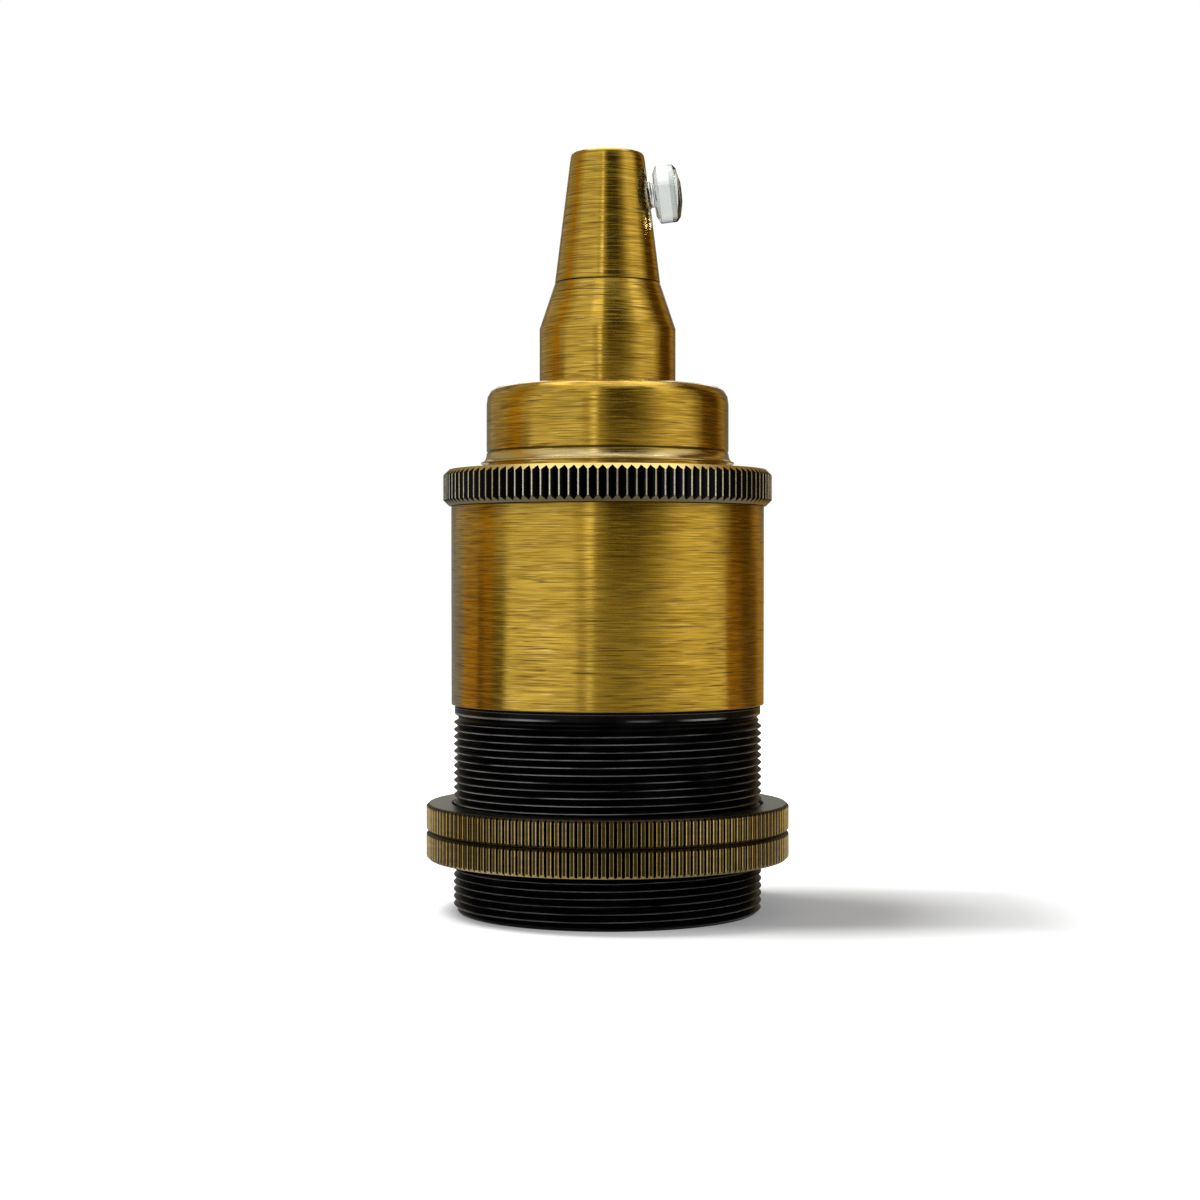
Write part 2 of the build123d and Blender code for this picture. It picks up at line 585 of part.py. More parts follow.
# Live contact: spring leaf from the porcelain's floor to the middle, with a rivet at its tip
def make_centre_contact():
    foot_start = POLE_OFFSET - LEAF_FOOT_HALF
    foot_end = POLE_OFFSET + LEAF_FOOT_HALF
    tip_bottom = CORE_FLOOR - LEAF_DROP
    foot_bottom = CORE_FLOOR - LEAF_SHEET
    side_view = Polyline(
        (-LEAF_TIP_HALF, tip_bottom), (LEAF_TIP_HALF - LEAF_SHEET, tip_bottom),
        (foot_start, foot_bottom), (foot_end, foot_bottom), (foot_end, CORE_FLOOR),
        (foot_start - LEAF_SHEET, CORE_FLOOR),
        (LEAF_TIP_HALF - 2 * LEAF_SHEET, tip_bottom + LEAF_SHEET),
        (-LEAF_TIP_HALF, tip_bottom + LEAF_SHEET),
        close=True,
    )
    leaf = extrude(Plane.YZ * make_face(side_view), LEAF_WIDTH / 2, both=True)
    leaf -= rod(LEAF_HOLE_R, tip_bottom - CUT_OVER, CORE_FLOOR)
    return leaf - Pos(0, POLE_OFFSET, CORE_FLOOR) * Cylinder(SCREW_HOLE_R, 4 * LEAF_SHEET)


def make_contact_button():
    head_top = CORE_FLOOR - LEAF_DROP - SEAT_GAP
    spread_bottom = CORE_FLOOR - LEAF_DROP + LEAF_SHEET + SEAT_GAP
    head = rod(BUTTON_R, head_top - BUTTON_HEAD, head_top)
    head = fillet(head.edges().group_by(Axis.Z)[0], BUTTON_ROUND)
    spread = rod(BUTTON_SPREAD_R, spread_bottom, spread_bottom + BUTTON_SPREAD)
    return head + rod(BUTTON_SHANK_R, head_top, spread_bottom) + spread


# Pillar terminals: block with a cross hole for the wire and a screw from above
def make_terminal(side):
    block = Box(TERMINAL_SIDE, TERMINAL_SIDE, TERMINAL_HEIGHT, align=BOTTOM)
    block = chamfer(block.edges(), EDGE_BREAK)
    wire_height = TERMINAL_HEIGHT - TERMINAL_TOP_WALL - WIRE_HOLE_R
    block -= Pos(0, 0, wire_height) * Rot(90, 0, 0) * Cylinder(WIRE_HOLE_R, 2 * TERMINAL_SIDE)
    block -= Cylinder(TAPPED_HOLE_R, TERMINAL_DEPTH, align=BOTTOM)
    block -= Pos(0, 0, TERMINAL_HEIGHT) * Cylinder(
        TAPPED_HOLE_R, TERMINAL_TOP_WALL + 2 * WIRE_HOLE_R, align=TOP
    )
    return Pos(0, side * POLE_OFFSET, TERMINAL_BOTTOM) * block


def make_terminal_screw(side):
    length = TERMINAL_SCREW_LIFT + TERMINAL_TOP_WALL + WIRE_HOLE_R
    return Pos(0, side * POLE_OFFSET, TERMINAL_TOP + TERMINAL_SCREW_LIFT) * slotted_screw(length)


LEFT, RIGHT = -1, 1
LIVE, NEUTRAL = 1, -1
UPPER_RING_BOTTOM = SHADE_RING_BOTTOM + SHADE_RING_HEIGHT + SHADE_RING_SPACE

pieces = {
    "outer_shell": make_outer_shell(),
    "shade_ring_upper": make_shade_ring(UPPER_RING_BOTTOM),
    "shade_ring_lower": make_shade_ring(SHADE_RING_BOTTOM),
    "union_ring": make_union_ring(),
    "cap": make_cap(),
    "grip_base": make_grip_base(),
    "grip_cone": make_grip_cone(),
    "clamp_screw": make_clamp_screw(),
    "threaded_nipple": make_threaded_nipple(),
    "lock_washer": make_lock_washer(),
    "cap_locknut": hexagon_nut(BRIDGE_TOP),
    "bracket_locknut": hexagon_nut(BRACKET_NUT_BOTTOM),
    "mounting_bracket": make_mounting_bracket(),
    "earth_screw": make_earth_screw(),
    "earth_washer": make_earth_washer(),
    "ceramic_body": make_ceramic_body(),
    "bracket_screw_left": make_bracket_screw(LEFT),
    "bracket_screw_right": make_bracket_screw(RIGHT),
    "bracket_nut_left": make_bracket_nut(LEFT),
    "bracket_nut_right": make_bracket_nut(RIGHT),
    "screw_shell": make_screw_shell(),
    "shell_screw": make_pole_screw(NEUTRAL, SHELL_FLOOR_BOTTOM),
    "neutral_terminal": make_terminal(NEUTRAL),
    "neutral_terminal_screw": make_terminal_screw(NEUTRAL),
    "centre_contact": make_centre_contact(),
    "contact_button": make_contact_button(),
    "contact_screw": make_pole_screw(LIVE, CORE_FLOOR - LEAF_SHEET),
    "live_terminal": make_terminal(LIVE),
    "live_terminal_screw": make_terminal_screw(LIVE),
}

os.makedirs("parts", exist_ok=True)
for name, solid in pieces.items():
    export_step(solid, f"parts/{name}.step")
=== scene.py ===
"""Looks of the brass lamp holder: threads, knurls, brushed and black finishes, light and camera.

The holder's sizes are in millimetres, as in the part's source. The studio's are in metres, and so
are all meshes.
"""

import json
from math import atan, ceil, cos, pi, radians, sin, tan, tau

import bmesh
import bpy
from mathutils import Matrix, Vector


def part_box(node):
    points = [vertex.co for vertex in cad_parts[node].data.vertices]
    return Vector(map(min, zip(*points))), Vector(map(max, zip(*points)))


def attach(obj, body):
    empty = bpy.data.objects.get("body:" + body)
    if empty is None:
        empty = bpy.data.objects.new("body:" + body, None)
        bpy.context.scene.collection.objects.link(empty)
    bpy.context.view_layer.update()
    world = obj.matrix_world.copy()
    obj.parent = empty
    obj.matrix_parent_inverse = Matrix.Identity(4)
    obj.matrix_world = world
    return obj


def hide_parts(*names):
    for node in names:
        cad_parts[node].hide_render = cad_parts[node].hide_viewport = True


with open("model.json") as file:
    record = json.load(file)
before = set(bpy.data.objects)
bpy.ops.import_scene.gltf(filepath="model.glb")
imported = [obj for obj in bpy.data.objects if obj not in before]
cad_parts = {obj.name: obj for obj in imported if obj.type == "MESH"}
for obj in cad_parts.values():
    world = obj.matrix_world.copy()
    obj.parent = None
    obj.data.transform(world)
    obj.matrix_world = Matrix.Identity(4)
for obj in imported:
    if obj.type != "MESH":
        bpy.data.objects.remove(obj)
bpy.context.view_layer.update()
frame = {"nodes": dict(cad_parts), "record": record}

MM = 0.001
WELD = 1e-6             # metres, points nearer than this become one
HAIR = 0.02             # millimetres, allowance when faces are sorted by place
COLUMNS = 192           # faces round a turned piece
SMALL_COLUMNS = 64      # faces round the clamp screw and its hole
HOLE_COLUMNS = 32       # faces round the screw shell's screw hole
THREAD_ROWS = 8         # faces along one pitch of a fine thread
ROLLED_ROWS = 16        # faces along one pitch of the lamp's thread
FLARE_STEPS = 8         # faces across the cap's flare
ROUND_STEPS = 4         # faces across a rounded corner
CONE_STEP = 0.6         # longest face along the cone
SHARP_ANGLE = radians(32)


def span(node):
    """Lowest height, highest height and outer radius of a round CAD node."""
    low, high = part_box(node)
    return low.z / MM, high.z / MM, high.x / MM


# Places and outer radii that the CAD gives
RIM_HEIGHT, SPIGOT_TOP, BARREL_R = span("outer_shell")
UNION_BOTTOM, UNION_TOP, UNION_RING_R = span("union_ring")
FLANGE_BOTTOM, CAP_TOP, CAP_FLANGE_R = span("cap")
GRIP_BOTTOM, CONE_BOTTOM, GRIP_BASE_R = span("grip_base")
CONE_TOP = span("grip_cone")[1]
SHADE_RING_R = span("shade_ring_upper")[2]
SHELL_BOTTOM, SHELL_FLOOR_TOP, SHELL_OUTER_R = span("screw_shell")

# Outer shell
SKIRT_R = 20.0
SKIRT_ROOT_R = 19.4
SHELL_BORE_R = 18.4
SKIRT_THREAD_TOP = 25.05
BARREL_BOTTOM = 26.75
COLLAR_R = 19.86        # black collar in the relief
COLLAR_BOTTOM = 25.2
COLLAR_BEVEL = 0.35
COLLAR_TOP = 26.45
COLLAR_STEP = 0.1
BARREL_TOP = 52.4
SPIGOT_R = 19.45
SPIGOT_ROOT_R = 19.05
FINE_PITCH = 0.94

# Shade rings
SHADE_BORE_R = 20.15
SHADE_BORE_EDGE = 0.15
SHADE_RING_CHAMFER = 0.35
SHADE_RIDGE_EDGE = 0.04
SHADE_TEETH = 154
SHADE_RIDGE_SHARE = 0.50
SHADE_KNURL_DEPTH = 0.32

# Union ring
UNION_BORE_R = 19.75
UNION_LIP_R = 15.85
UNION_LIP = 1.0
UNION_LIP_EDGE = 0.1
UNION_CHAMFER = 0.75
UNION_TEETH = 112
UNION_RIDGE_SHARE = 0.10
UNION_KNURL_DEPTH = 0.55

# Cap
CAP_R = 15.72
CAP_NECK_R = 15.55
CAP_BORE_R = 14.55
CAP_LIP_R = 16.43
CAP_LIP_EDGE = 0.2
CAP_ROUND = 2.3
CAP_WALL = 1.0
CAP_FLANGE = 0.85
CAP_FLARE_GAP = 0.75
CAP_FLARE_HEIGHT = 1.35
CAP_GROOVE_DEPTH = 0.14
CAP_GROOVE_WIDTH = 0.34
NIPPLE_HOLE_R = 5.0

# Cord grip
GRIP_SHOULDER_BOTTOM = 75.4
GRIP_JOINT_R = 6.84
CONE_TOP_R = 4.75
CONE_TOP_ROUND = 0.7
CONE_SOCKET_DEPTH = 6.4
CORD_CHAMBER_R = 3.8
CORD_MOUTH_R = 3.5
CORD_MOUTH_LENGTH = 2.4

# Clamp screw
CLAMP_HEIGHT = 11.45
CLAMP_THREAD_R = 1.95
CLAMP_ROOT_R = 1.6
CLAMP_PITCH = 0.7
CLAMP_LENGTH = 4.5
CLAMP_NECK = 0.35
CLAMP_HOLE_GAP = 0.1
CLAMP_COUNTERSINK_R = 2.2
CLAMP_HEAD_GAP = 0.65
CLAMP_HEAD_R = 3.8
CLAMP_HEAD = 3.5
CLAMP_FOOT_R = 2.8
CLAMP_FOOT_BEVEL = 0.5
CLAMP_DOME = 0.9
CLAMP_DOME_EDGE = 0.5
CLAMP_DOME_R = 3.2
CLAMP_FACE_R = 1.6
CLAMP_SLOT_WIDTH = 1.1
CLAMP_SLOT_DEPTH = 1.5
CLAMP_SLOT_TURN = 84

# Screw shell for the lamp
LAMP_CREST_R = 12.2
LAMP_ROOT_R = 13.3
LAMP_PITCH = 3.629
SHELL_SHEET = 0.3
SHELL_LIP = 1.0
SHELL_SHOULDER = 0.8
SHELL_FLOOR_HOLE_R = 6.5
SHELL_SLOT_LENGTH = 9.0
SHELL_SLOT_OFFSET = 7.0
SHELL_SCREW_HOLE_R = 1.7
SHELL_SCREW_OFFSET = 9.0

# Colours of the finishes and of painted sheen and shade, as linear red, green and blue
BRASS_DARK = (0.32, 0.195, 0.016)
BRASS_BRIGHT = (0.69, 0.45, 0.058)
BRASS_GLINT = (0.92, 0.68, 0.20)
BRASS_SCRATCH = (0.11, 0.06, 0.006)
# Paler brass for a painted sheen on the cap's flare
BRASS_FLARE_SHEEN = (0.72, 0.60, 0.33)
# Dark brown for painted shade in the grip's joint, the cap's groove and below the union ring
JOINT_SHADE_PAINT = (0.05, 0.033, 0.012)
OXIDE = (0.002, 0.002, 0.0025)
OXIDE_SMUDGE = (0.008, 0.0075, 0.007)
OXIDE_WORN = (0.30, 0.30, 0.31)
PLASTIC = (0.66, 0.69, 0.67)
# Dark tint for painted shade where the clear plastic is seen at a slant
PLASTIC_SLANT_SHADE = (0.05, 0.055, 0.05)
PORCELAIN_DULL = (0.80, 0.785, 0.74)
PORCELAIN_WHITE = (0.87, 0.86, 0.83)
PORCELAIN_SPECK = (0.45, 0.40, 0.32)
ZINC_DARK = (0.36, 0.36, 0.34)
ZINC_BRIGHT = (0.66, 0.66, 0.63)
CONTACT_DARK = (0.50, 0.36, 0.16)
CONTACT_BRIGHT = (0.80, 0.62, 0.32)

# Kinds of ray that a studio card is hidden from
GLOSS_ALONE = ("camera", "diffuse", "transmission", "shadow")   # it shows in gloss alone
CLEAR_ALONE = ("camera", "diffuse", "glossy", "shadow")         # it shows in clear plastic alone

# Floor, in metres
FLOOR_SIZE = 6.0
FLOOR_DROP = 0.00002
FLOOR_COLOUR = (0.85, 0.85, 0.85)
SHADOW_LIFT = 0.19                  # share by which the shadow is whitened near the holder
SHADOW_FADE = (0.054, 0.10)         # distances from the axis between which it fades out
SHADOW_SIDE_FADE = (0.014, 0.034)   # the same to the front and back, where it fades in part
SHADOW_SIDE_SHARE = 0.6

# Reflector, in metres and in degrees from the camera's side, rising to the camera's right
REFLECTOR_R = 0.5
REFLECTOR_HOLE_R = 0.024
REFLECTOR_BOTTOM = 0.0004
REFLECTOR_TOP = 0.75
REFLECTOR_COLUMNS = 180
REFLECTOR_NEAR = 0.07       # even grey to here, full bands from twice as far
NEAR_GLOW = (0.34, 0.34, 0.33)
SHINE_AZIMUTHS = (-22, 68)  # bright patches high up
SHINE_FADE = (6, 15)
SHINE_HEIGHTS = (0.40, 0.46)
SHINE_GLOW = (1.5, 1.5, 1.45)
BACK_FADE = (163, 171)      # bright patch behind the holder
BACK_HEIGHTS = (0.16, 0.22)
BACK_GLOW = (2.6, 2.55, 2.4)
PANEL_STEP = (0.05, 0.08)   # heights between which the low panels change into the high ones
WHITE = (1.0, 0.98, 0.94)
CREAM = (1.0, 0.92, 0.72)
OLIVE = (1.0, 0.88, 0.56)
GOLD = (1.0, 0.56, 0.09)
AMBER = (1.0, 0.62, 0.13)
GREY = (0.96, 0.97, 1.0)

# The reflector's even panels: first and last azimuth, colour and brightness
LOW_PANELS = (
    (-180, -131, GREY, 0.26),
    (-128, -108, GOLD, 0.46),
    (-106, -101, GOLD, 0.14),
    (-99, -92, GOLD, 0.30),
    (-88, -80, OLIVE, 0.13),
    (-74, -28, WHITE, 1.06),
    (-24, -22, WHITE, 1.0),
    (-20, -15, CREAM, 0.50),
    (-13.5, -11.5, WHITE, 1.0),
    (-9, 18, OLIVE, 0.45),
    (54, 84, CREAM, 0.92),
    (90, 92, CREAM, 0.85),
    (95, 106, GOLD, 0.38),
    (116, 134, GOLD, 0.16),
    (144, 158, GOLD, 0.40),
    (166, 180, GREY, 0.16),
)
HIGH_PANELS = (
    (-180, -150, OLIVE, 0.24),
    (-142, -108, OLIVE, 0.44),
    (-104, -91, AMBER, 0.56),
    (-85, -79, CREAM, 0.60),
    (-70, -26, WHITE, 0.80),
    (-22, -18, CREAM, 0.62),
    (-13, -11.5, WHITE, 1.5),
    (-8, -4, OLIVE, 0.30),
    (2, 24, OLIVE, 0.06),
    (34, 36, OLIVE, 0.20),
    (58, 82, CREAM, 0.92),
    (92, 95, OLIVE, 0.40),
    (102, 124, GOLD, 0.10),
    (136, 142, AMBER, 0.42),
    (150, 180, OLIVE, 0.18),
)

# Bright card overhead, in metres
CEILING_LEFT, CEILING_RIGHT = -0.28, 0.28
CEILING_FRONT, CEILING_BACK = -0.03, 0.34
CEILING_HEIGHT = 0.62
CEILING_STRENGTH = 2.5

# Dark upright cards, in metres and degrees
FLAG_R = 0.16
FLAG_BOTTOM, FLAG_TOP = 0.02, 0.24
FLAG_STRENGTH = 0.03
FLAG_AZIMUTHS = ((20, 84), (100, 135), (-84, -20), (-135, -100))

# Light and camera, in metres where not said otherwise
WORLD_STRENGTH = 0.25
KEY_PLACE = (-0.27, 0.04, 0.62)
KEY_AIM = (0, 0, 0.04)
KEY_SIZE = 0.26
KEY_POWER = 4.2
CAMERA_PLACE = (0, -0.296, 0.0435)
CAMERA_DIP = 0.63           # degrees down
CAMERA_TURN = 0.19          # degrees to the left
CAMERA_LENS = 68.2          # millimetres, on a sensor of the width below
CAMERA_SENSOR = 36.0
CAMERA_NEAREST = 0.01


# Node trees
class Value:
    """A number in a node tree. Expressions on it add the tree's Math nodes."""

    def __init__(self, nodes, socket):
        self.nodes = nodes
        self.socket = socket

    def maths(self, operation, *values, clamp=False):
        settings = {"operation": operation, "use_clamp": clamp}
        return self.nodes.add("ShaderNodeMath", settings, dict(enumerate(values)))

    def __add__(self, other):
        return self.maths("ADD", self, other)

    def __radd__(self, other):
        return self.maths("ADD", other, self)

    def __sub__(self, other):
        return self.maths("SUBTRACT", self, other)

    def __rsub__(self, other):
        return self.maths("SUBTRACT", other, self)

    def __mul__(self, other):
        return self.maths("MULTIPLY", self, other)

    def __rmul__(self, other):
        return self.maths("MULTIPLY", other, self)

    def __truediv__(self, other):
        return self.maths("DIVIDE", self, other)

    def absolute(self):
        return self.maths("ABSOLUTE", self)

    def root(self):
        return self.maths("SQRT", self)

    def sine(self):
        return self.maths("SINE", self)

    def cosine(self):
        return self.maths("COSINE", self)

    def wave(self):
        """Runs from 0 up to 1 and down again as the value grows by 1."""
        return self.maths("PINGPONG", self, 0.5) * 2

    def clamped(self):
        return self.maths("ADD", self, 0.0, clamp=True)

    def least(self, other):
        return self.maths("MINIMUM", self, other)

    def most(self, other):
        return self.maths("MAXIMUM", self, other)

    def rise(self, start, end):
        """0 below start and 1 above end, with a straight rise between them."""
        return ((self - start) / (end - start)).clamped()


class Nodes:
    """A node tree being built: add() makes any of its nodes."""

    def __init__(self, tree):
        self.tree = tree
        tree.nodes.clear()

    def add(self, kind, settings=None, inputs=None, output=0):
        """Make a node, apply its settings, fill its inputs, and return one of its outputs."""
        node = self.tree.nodes.new(kind)
        for name, setting in (settings or {}).items():
            if name == "stops":
                self.set_stops(node.color_ramp, setting)
            else:
                setattr(node, name, setting)
        for name, value in (inputs or {}).items():
            if isinstance(value, Value):
                self.tree.links.new(value.socket, node.inputs[name])
            else:
                node.inputs[name].default_value = value
        return Value(self, node.outputs[output]) if len(node.outputs) else node

    @staticmethod
    def set_stops(ramp, stops):
        while len(ramp.elements) < len(stops):
            ramp.elements.new(1.0)
        for element, (place, colour) in zip(ramp.elements, stops):
            element.position = place
            element.color = (*colour, 1.0)

    def parts(self, vector):
        """The x, y and z of a vector."""
        return [self.add("ShaderNodeSeparateXYZ", None, {0: vector}, axis) for axis in range(3)]

    def vector(self, x, y, z):
        return self.add("ShaderNodeCombineXYZ", None, {0: x, 1: y, 2: z})

    def noise(self, place, scale=1.0, detail=2.0, roughness=0.5):
        inputs = {"Vector": place, "Scale": scale, "Detail": detail, "Roughness": roughness}
        return self.add("ShaderNodeTexNoise", None, inputs, "Fac")

    def mix(self, factor, *colours):
        """Blend of two colours, each from a node or given as red, green and blue."""
        first, second = (
            colour if isinstance(colour, Value) else (*colour, 1.0) for colour in colours
        )
        settings = {"data_type": "RGBA", "clamp_factor": True}
        return self.add("ShaderNodeMix", settings, {0: factor, 6: first, 7: second}, 2)

    def glow(self, colour, strength=1.0):
        """Finish the material as a surface that shines by itself."""
        if not isinstance(colour, Value):
            colour = (*colour, 1.0)
        shine = self.add("ShaderNodeEmission", None, {"Color": colour, "Strength": strength})
        self.add("ShaderNodeOutputMaterial", None, {"Surface": shine})


def geometry_tree(name, inputs):
    """New geometry tree with named inputs; returns its nodes and the inputs' values."""
    tree = bpy.data.node_groups.new(name, "GeometryNodeTree")
    tree.interface.new_socket("Geometry", in_out="OUTPUT", socket_type="NodeSocketGeometry")
    for label, kind in inputs.items():
        tree.interface.new_socket(label, in_out="INPUT", socket_type="NodeSocket" + kind)
    nodes = Nodes(tree)
    entry = tree.nodes.new("NodeGroupInput")
    return nodes, {label: Value(nodes, entry.outputs[label]) for label in inputs}


def new_object(name, data):
    made = bpy.data.objects.new(name, data)
    bpy.context.scene.collection.objects.link(made)
    return made


def grown_mesh(name, tree, values, start=None):
    """Plain mesh that a geometry tree grows from the start mesh and the named values."""
    grower = new_object(name, start or bpy.data.meshes.new(name))
    modifier = grower.modifiers.new(name, "NODES")
    modifier.node_group = tree
    for socket in tree.interface.items_tree:
        if socket.in_out == "INPUT" and socket.name in values:
            modifier[socket.identifier] = values[socket.name]
    shapes = bpy.context.evaluated_depsgraph_get()
    mesh = bpy.data.meshes.new_from_object(grower.evaluated_get(shapes))
    bpy.data.objects.remove(grower)
    return mesh


def thread_tree():
    """Screw thread: a grid whose rows follow the helix, rolled up and welded at its seam."""
    nodes, size = geometry_tree("screw thread", {
        "Crest radius": "Float", "Root radius": "Float", "Pitch": "Float",
        "Bottom": "Float", "Top": "Float", "Run-out": "Float", "Crest share": "Float",
        "Turns": "Int", "Rows": "Int", "Columns": "Int", "Material": "Material",
    })
    grid = nodes.add("GeometryNodeMeshGrid", None, {
        "Size X": 1.0, "Size Y": 1.0,
        "Vertices X": size["Columns"] + 1, "Vertices Y": size["Rows"] + 1,
    })
    across, along, _ = nodes.parts(nodes.add("GeometryNodeInputPosition"))
    turn = across + 0.5
    thread_turn = (along + 0.5) * size["Turns"]
    height = size["Bottom"] + (thread_turn + turn - 1) * size["Pitch"]
    height = height.most(size["Bottom"]).least(size["Top"])
    ridge = (thread_turn.wave() / (1 - size["Crest share"])).clamped()
    fade_in = ((height - size["Bottom"]) / size["Run-out"]).clamped()
    fade_out = ((size["Top"] - height) / size["Run-out"]).clamped()
    radius = size["Root radius"] + (
        (size["Crest radius"] - size["Root radius"]) * ridge * fade_in * fade_out
    )
    angle = turn * tau
    place = nodes.vector(radius * angle.cosine(), radius * angle.sine(), height)
    rolled = nodes.add("GeometryNodeSetPosition", None, {"Geometry": grid, "Position": place})
    welded = nodes.add("GeometryNodeMergeByDistance", None, {"Geometry": rolled, "Distance": WELD})
    finish_tree(nodes, welded, size["Material"])
    return nodes.tree


def knurl_tree():
    """Knurled ring: one tooth repeated round the Z axis and welded to its neighbours."""
    nodes, size = geometry_tree("knurled ring", {
        "Tooth": "Geometry", "Teeth": "Int", "Material": "Material",
    })
    centres = nodes.add("GeometryNodePoints", None, {"Count": size["Teeth"]})
    turn = nodes.add("GeometryNodeInputIndex") * tau / size["Teeth"]
    ring = nodes.add("GeometryNodeInstanceOnPoints", None, {
        "Points": centres, "Instance": size["Tooth"], "Rotation": nodes.vector(0.0, 0.0, turn),
    })
    real = nodes.add("GeometryNodeRealizeInstances", None, {"Geometry": ring})
    welded = nodes.add("GeometryNodeMergeByDistance", None, {"Geometry": real, "Distance": WELD})
    finish_tree(nodes, welded, size["Material"])
    return nodes.tree


def finish_tree(nodes, geometry, material):
    """End the tree with real faces in the given material."""
    real = nodes.add("GeometryNodeRealizeInstances", None, {"Geometry": geometry})
    finished = nodes.add("GeometryNodeSetMaterial", None, {"Geometry": real, "Material": material})
    nodes.add("NodeGroupOutput", None, {0: finished})


# Mesh making
def rounded(*corners):
    """Outline whose corners, each a radius, height and rounding, are rounded off."""
    points = []
    for index, (radius, height, rounding) in enumerate(corners):
        corner = Vector((radius, height))
        if not rounding:
            points.append(corner)
            continue
        before = Vector(corners[index - 1][:2]) - corner
        after = Vector(corners[(index + 1) % len(corners)][:2]) - corner
        reach = min(
            rounding / tan(before.angle(after) / 2), before.length * 0.49, after.length * 0.49
        )
        start = corner + before.normalized() * reach
        end = corner + after.normalized() * reach
        for step in range(ROUND_STEPS + 1):
            share = step / ROUND_STEPS
            points.append(
                start * (1 - share) ** 2 + corner * 2 * share * (1 - share) + end * share ** 2
            )
    return points


def divided(outline, step):
    """The same open outline with points added so that none of its edges is longer than step."""
    points = [Vector(outline[0])]
    for point in outline[1:]:
        start, end = points[-1], Vector(point)
        pieces = max(1, ceil((end - start).length / step))
        points += [start.lerp(end, piece / pieces) for piece in range(1, pieces + 1)]
    return points


def turned(outline, closed=True, columns=COLUMNS):
    """Mesh of an outline of radius and height, turned about the Z axis."""
    work = bmesh.new()
    rings = []
    for column in range(columns):
        angle = tau * column / columns
        rings.append([
            work.verts.new(Vector((radius * cos(angle), radius * sin(angle), height)) * MM)
            for radius, height in outline
        ])
    edges = len(outline) if closed else len(outline) - 1
    for column, ring in enumerate(rings):
        following = rings[(column + 1) % columns]
        for row in range(edges):
            above = (row + 1) % len(outline)
            work.faces.new((ring[row], following[row], following[above], ring[above]))
    mesh = bpy.data.meshes.new("turned")
    work.to_mesh(mesh)
    work.free()
    return mesh


def piece(name, *meshes, place=None, material=None):
    """Object of one or more meshes, welded into one and turned outwards."""
    work = bmesh.new()
    for mesh in meshes:
        work.from_mesh(mesh)
    bmesh.ops.remove_doubles(work, verts=work.verts, dist=WELD)
    bmesh.ops.recalc_face_normals(work, faces=work.faces)
    if place:
        work.transform(place)
    mesh = bpy.data.meshes.new(name)
    work.to_mesh(mesh)
    work.free()
    if material:
        mesh.materials.append(material)
    made = new_object(name, mesh)
    smooth(made)
    return made


def smooth(made):
    made.data.shade_smooth()
    made.data.set_sharp_from_angle(angle=SHARP_ANGLE)


def cut(made, *cutters):
    """Cut the cutters' shapes out of a piece, and remove them."""
    for cutter in cutters:
        modifier = made.modifiers.new("cut", "BOOLEAN")
        modifier.operation = "DIFFERENCE"
        modifier.solver = "EXACT"
        modifier.object = cutter
    shapes = bpy.context.evaluated_depsgraph_get()
    mesh = bpy.data.meshes.new_from_object(made.evaluated_get(shapes))
    made.modifiers.clear()
    made.data = mesh
    for cutter in cutters:
        bpy.data.objects.remove(cutter)
    smooth(made)


def box_piece(name, size, centre, turn=0.0):
    """Box of a size in millimetres, turned about Z and then placed."""
    work = bmesh.new()
    bmesh.ops.create_cube(work, size=1.0)
    work.transform(
        Matrix.Translation(Vector(centre) * MM)
        @ Matrix.Rotation(radians(turn), 4, "Z")
        @ Matrix.Diagonal((*(Vector(size) * MM), 1.0))
    )
    mesh = bpy.data.meshes.new(name)
    work.to_mesh(mesh)
    work.free()
    return piece(name, mesh)


def thread(crest_r, root_r, pitch, bottom, top, material, *, run_out, crest_share,
           columns=COLUMNS, rows=THREAD_ROWS):
    """Mesh of a helical thread between two heights, which ends in plain rings."""
    turns = ceil((top - bottom) / pitch) + 1
    return grown_mesh("thread", screw_thread, {
        "Crest radius": crest_r * MM, "Root radius": root_r * MM, "Pitch": pitch * MM,
        "Bottom": bottom * MM, "Top": top * MM, "Run-out": run_out * MM,
        "Crest share": crest_share, "Turns": turns, "Rows": turns * rows, "Columns": columns,
        "Material": material,
    })


def stand_for(made, node, body):
    """The piece stands for a CAD node, which it hides, and rides on its body."""
    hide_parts(node)
    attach(made, body)


def dress(name, outline, node, body):
    """Turned piece of brushed brass that stands for a CAD node."""
    stand_for(piece(name, turned(outline), material=brass), node, body)


# Finishes
def new_material(name):
    material = bpy.data.materials.new(name)
    material.use_nodes = True
    nodes = Nodes(material.node_tree)
    place = nodes.add("ShaderNodeTexCoord", output="Object")
    return material, nodes, place


def finish_material(nodes, inputs, bump=None, bump_height=0.0):
    """Principled surface with an optional bump of a height in metres."""
    if bump:
        inputs["Normal"] = nodes.add("ShaderNodeBump", None, {
            "Strength": 1.0, "Distance": bump_height, "Height": bump,
        })
    surface = nodes.add("ShaderNodeBsdfPrincipled", None, inputs)
    nodes.add("ShaderNodeOutputMaterial", None, {"Surface": surface})


def brush_lines(nodes, place, length, width, detail=1.0):
    """Noise stretched into lines of about this length and width round the axis.

    They run round on sides and on flat ends alike.
    """
    x, y, z = nodes.parts(place)
    across = z + (x * x + y * y).root()
    return nodes.noise(
        nodes.vector(x / (length * MM), y / (length * MM), across / (width * MM)),
        detail=detail, roughness=0.6,
    )


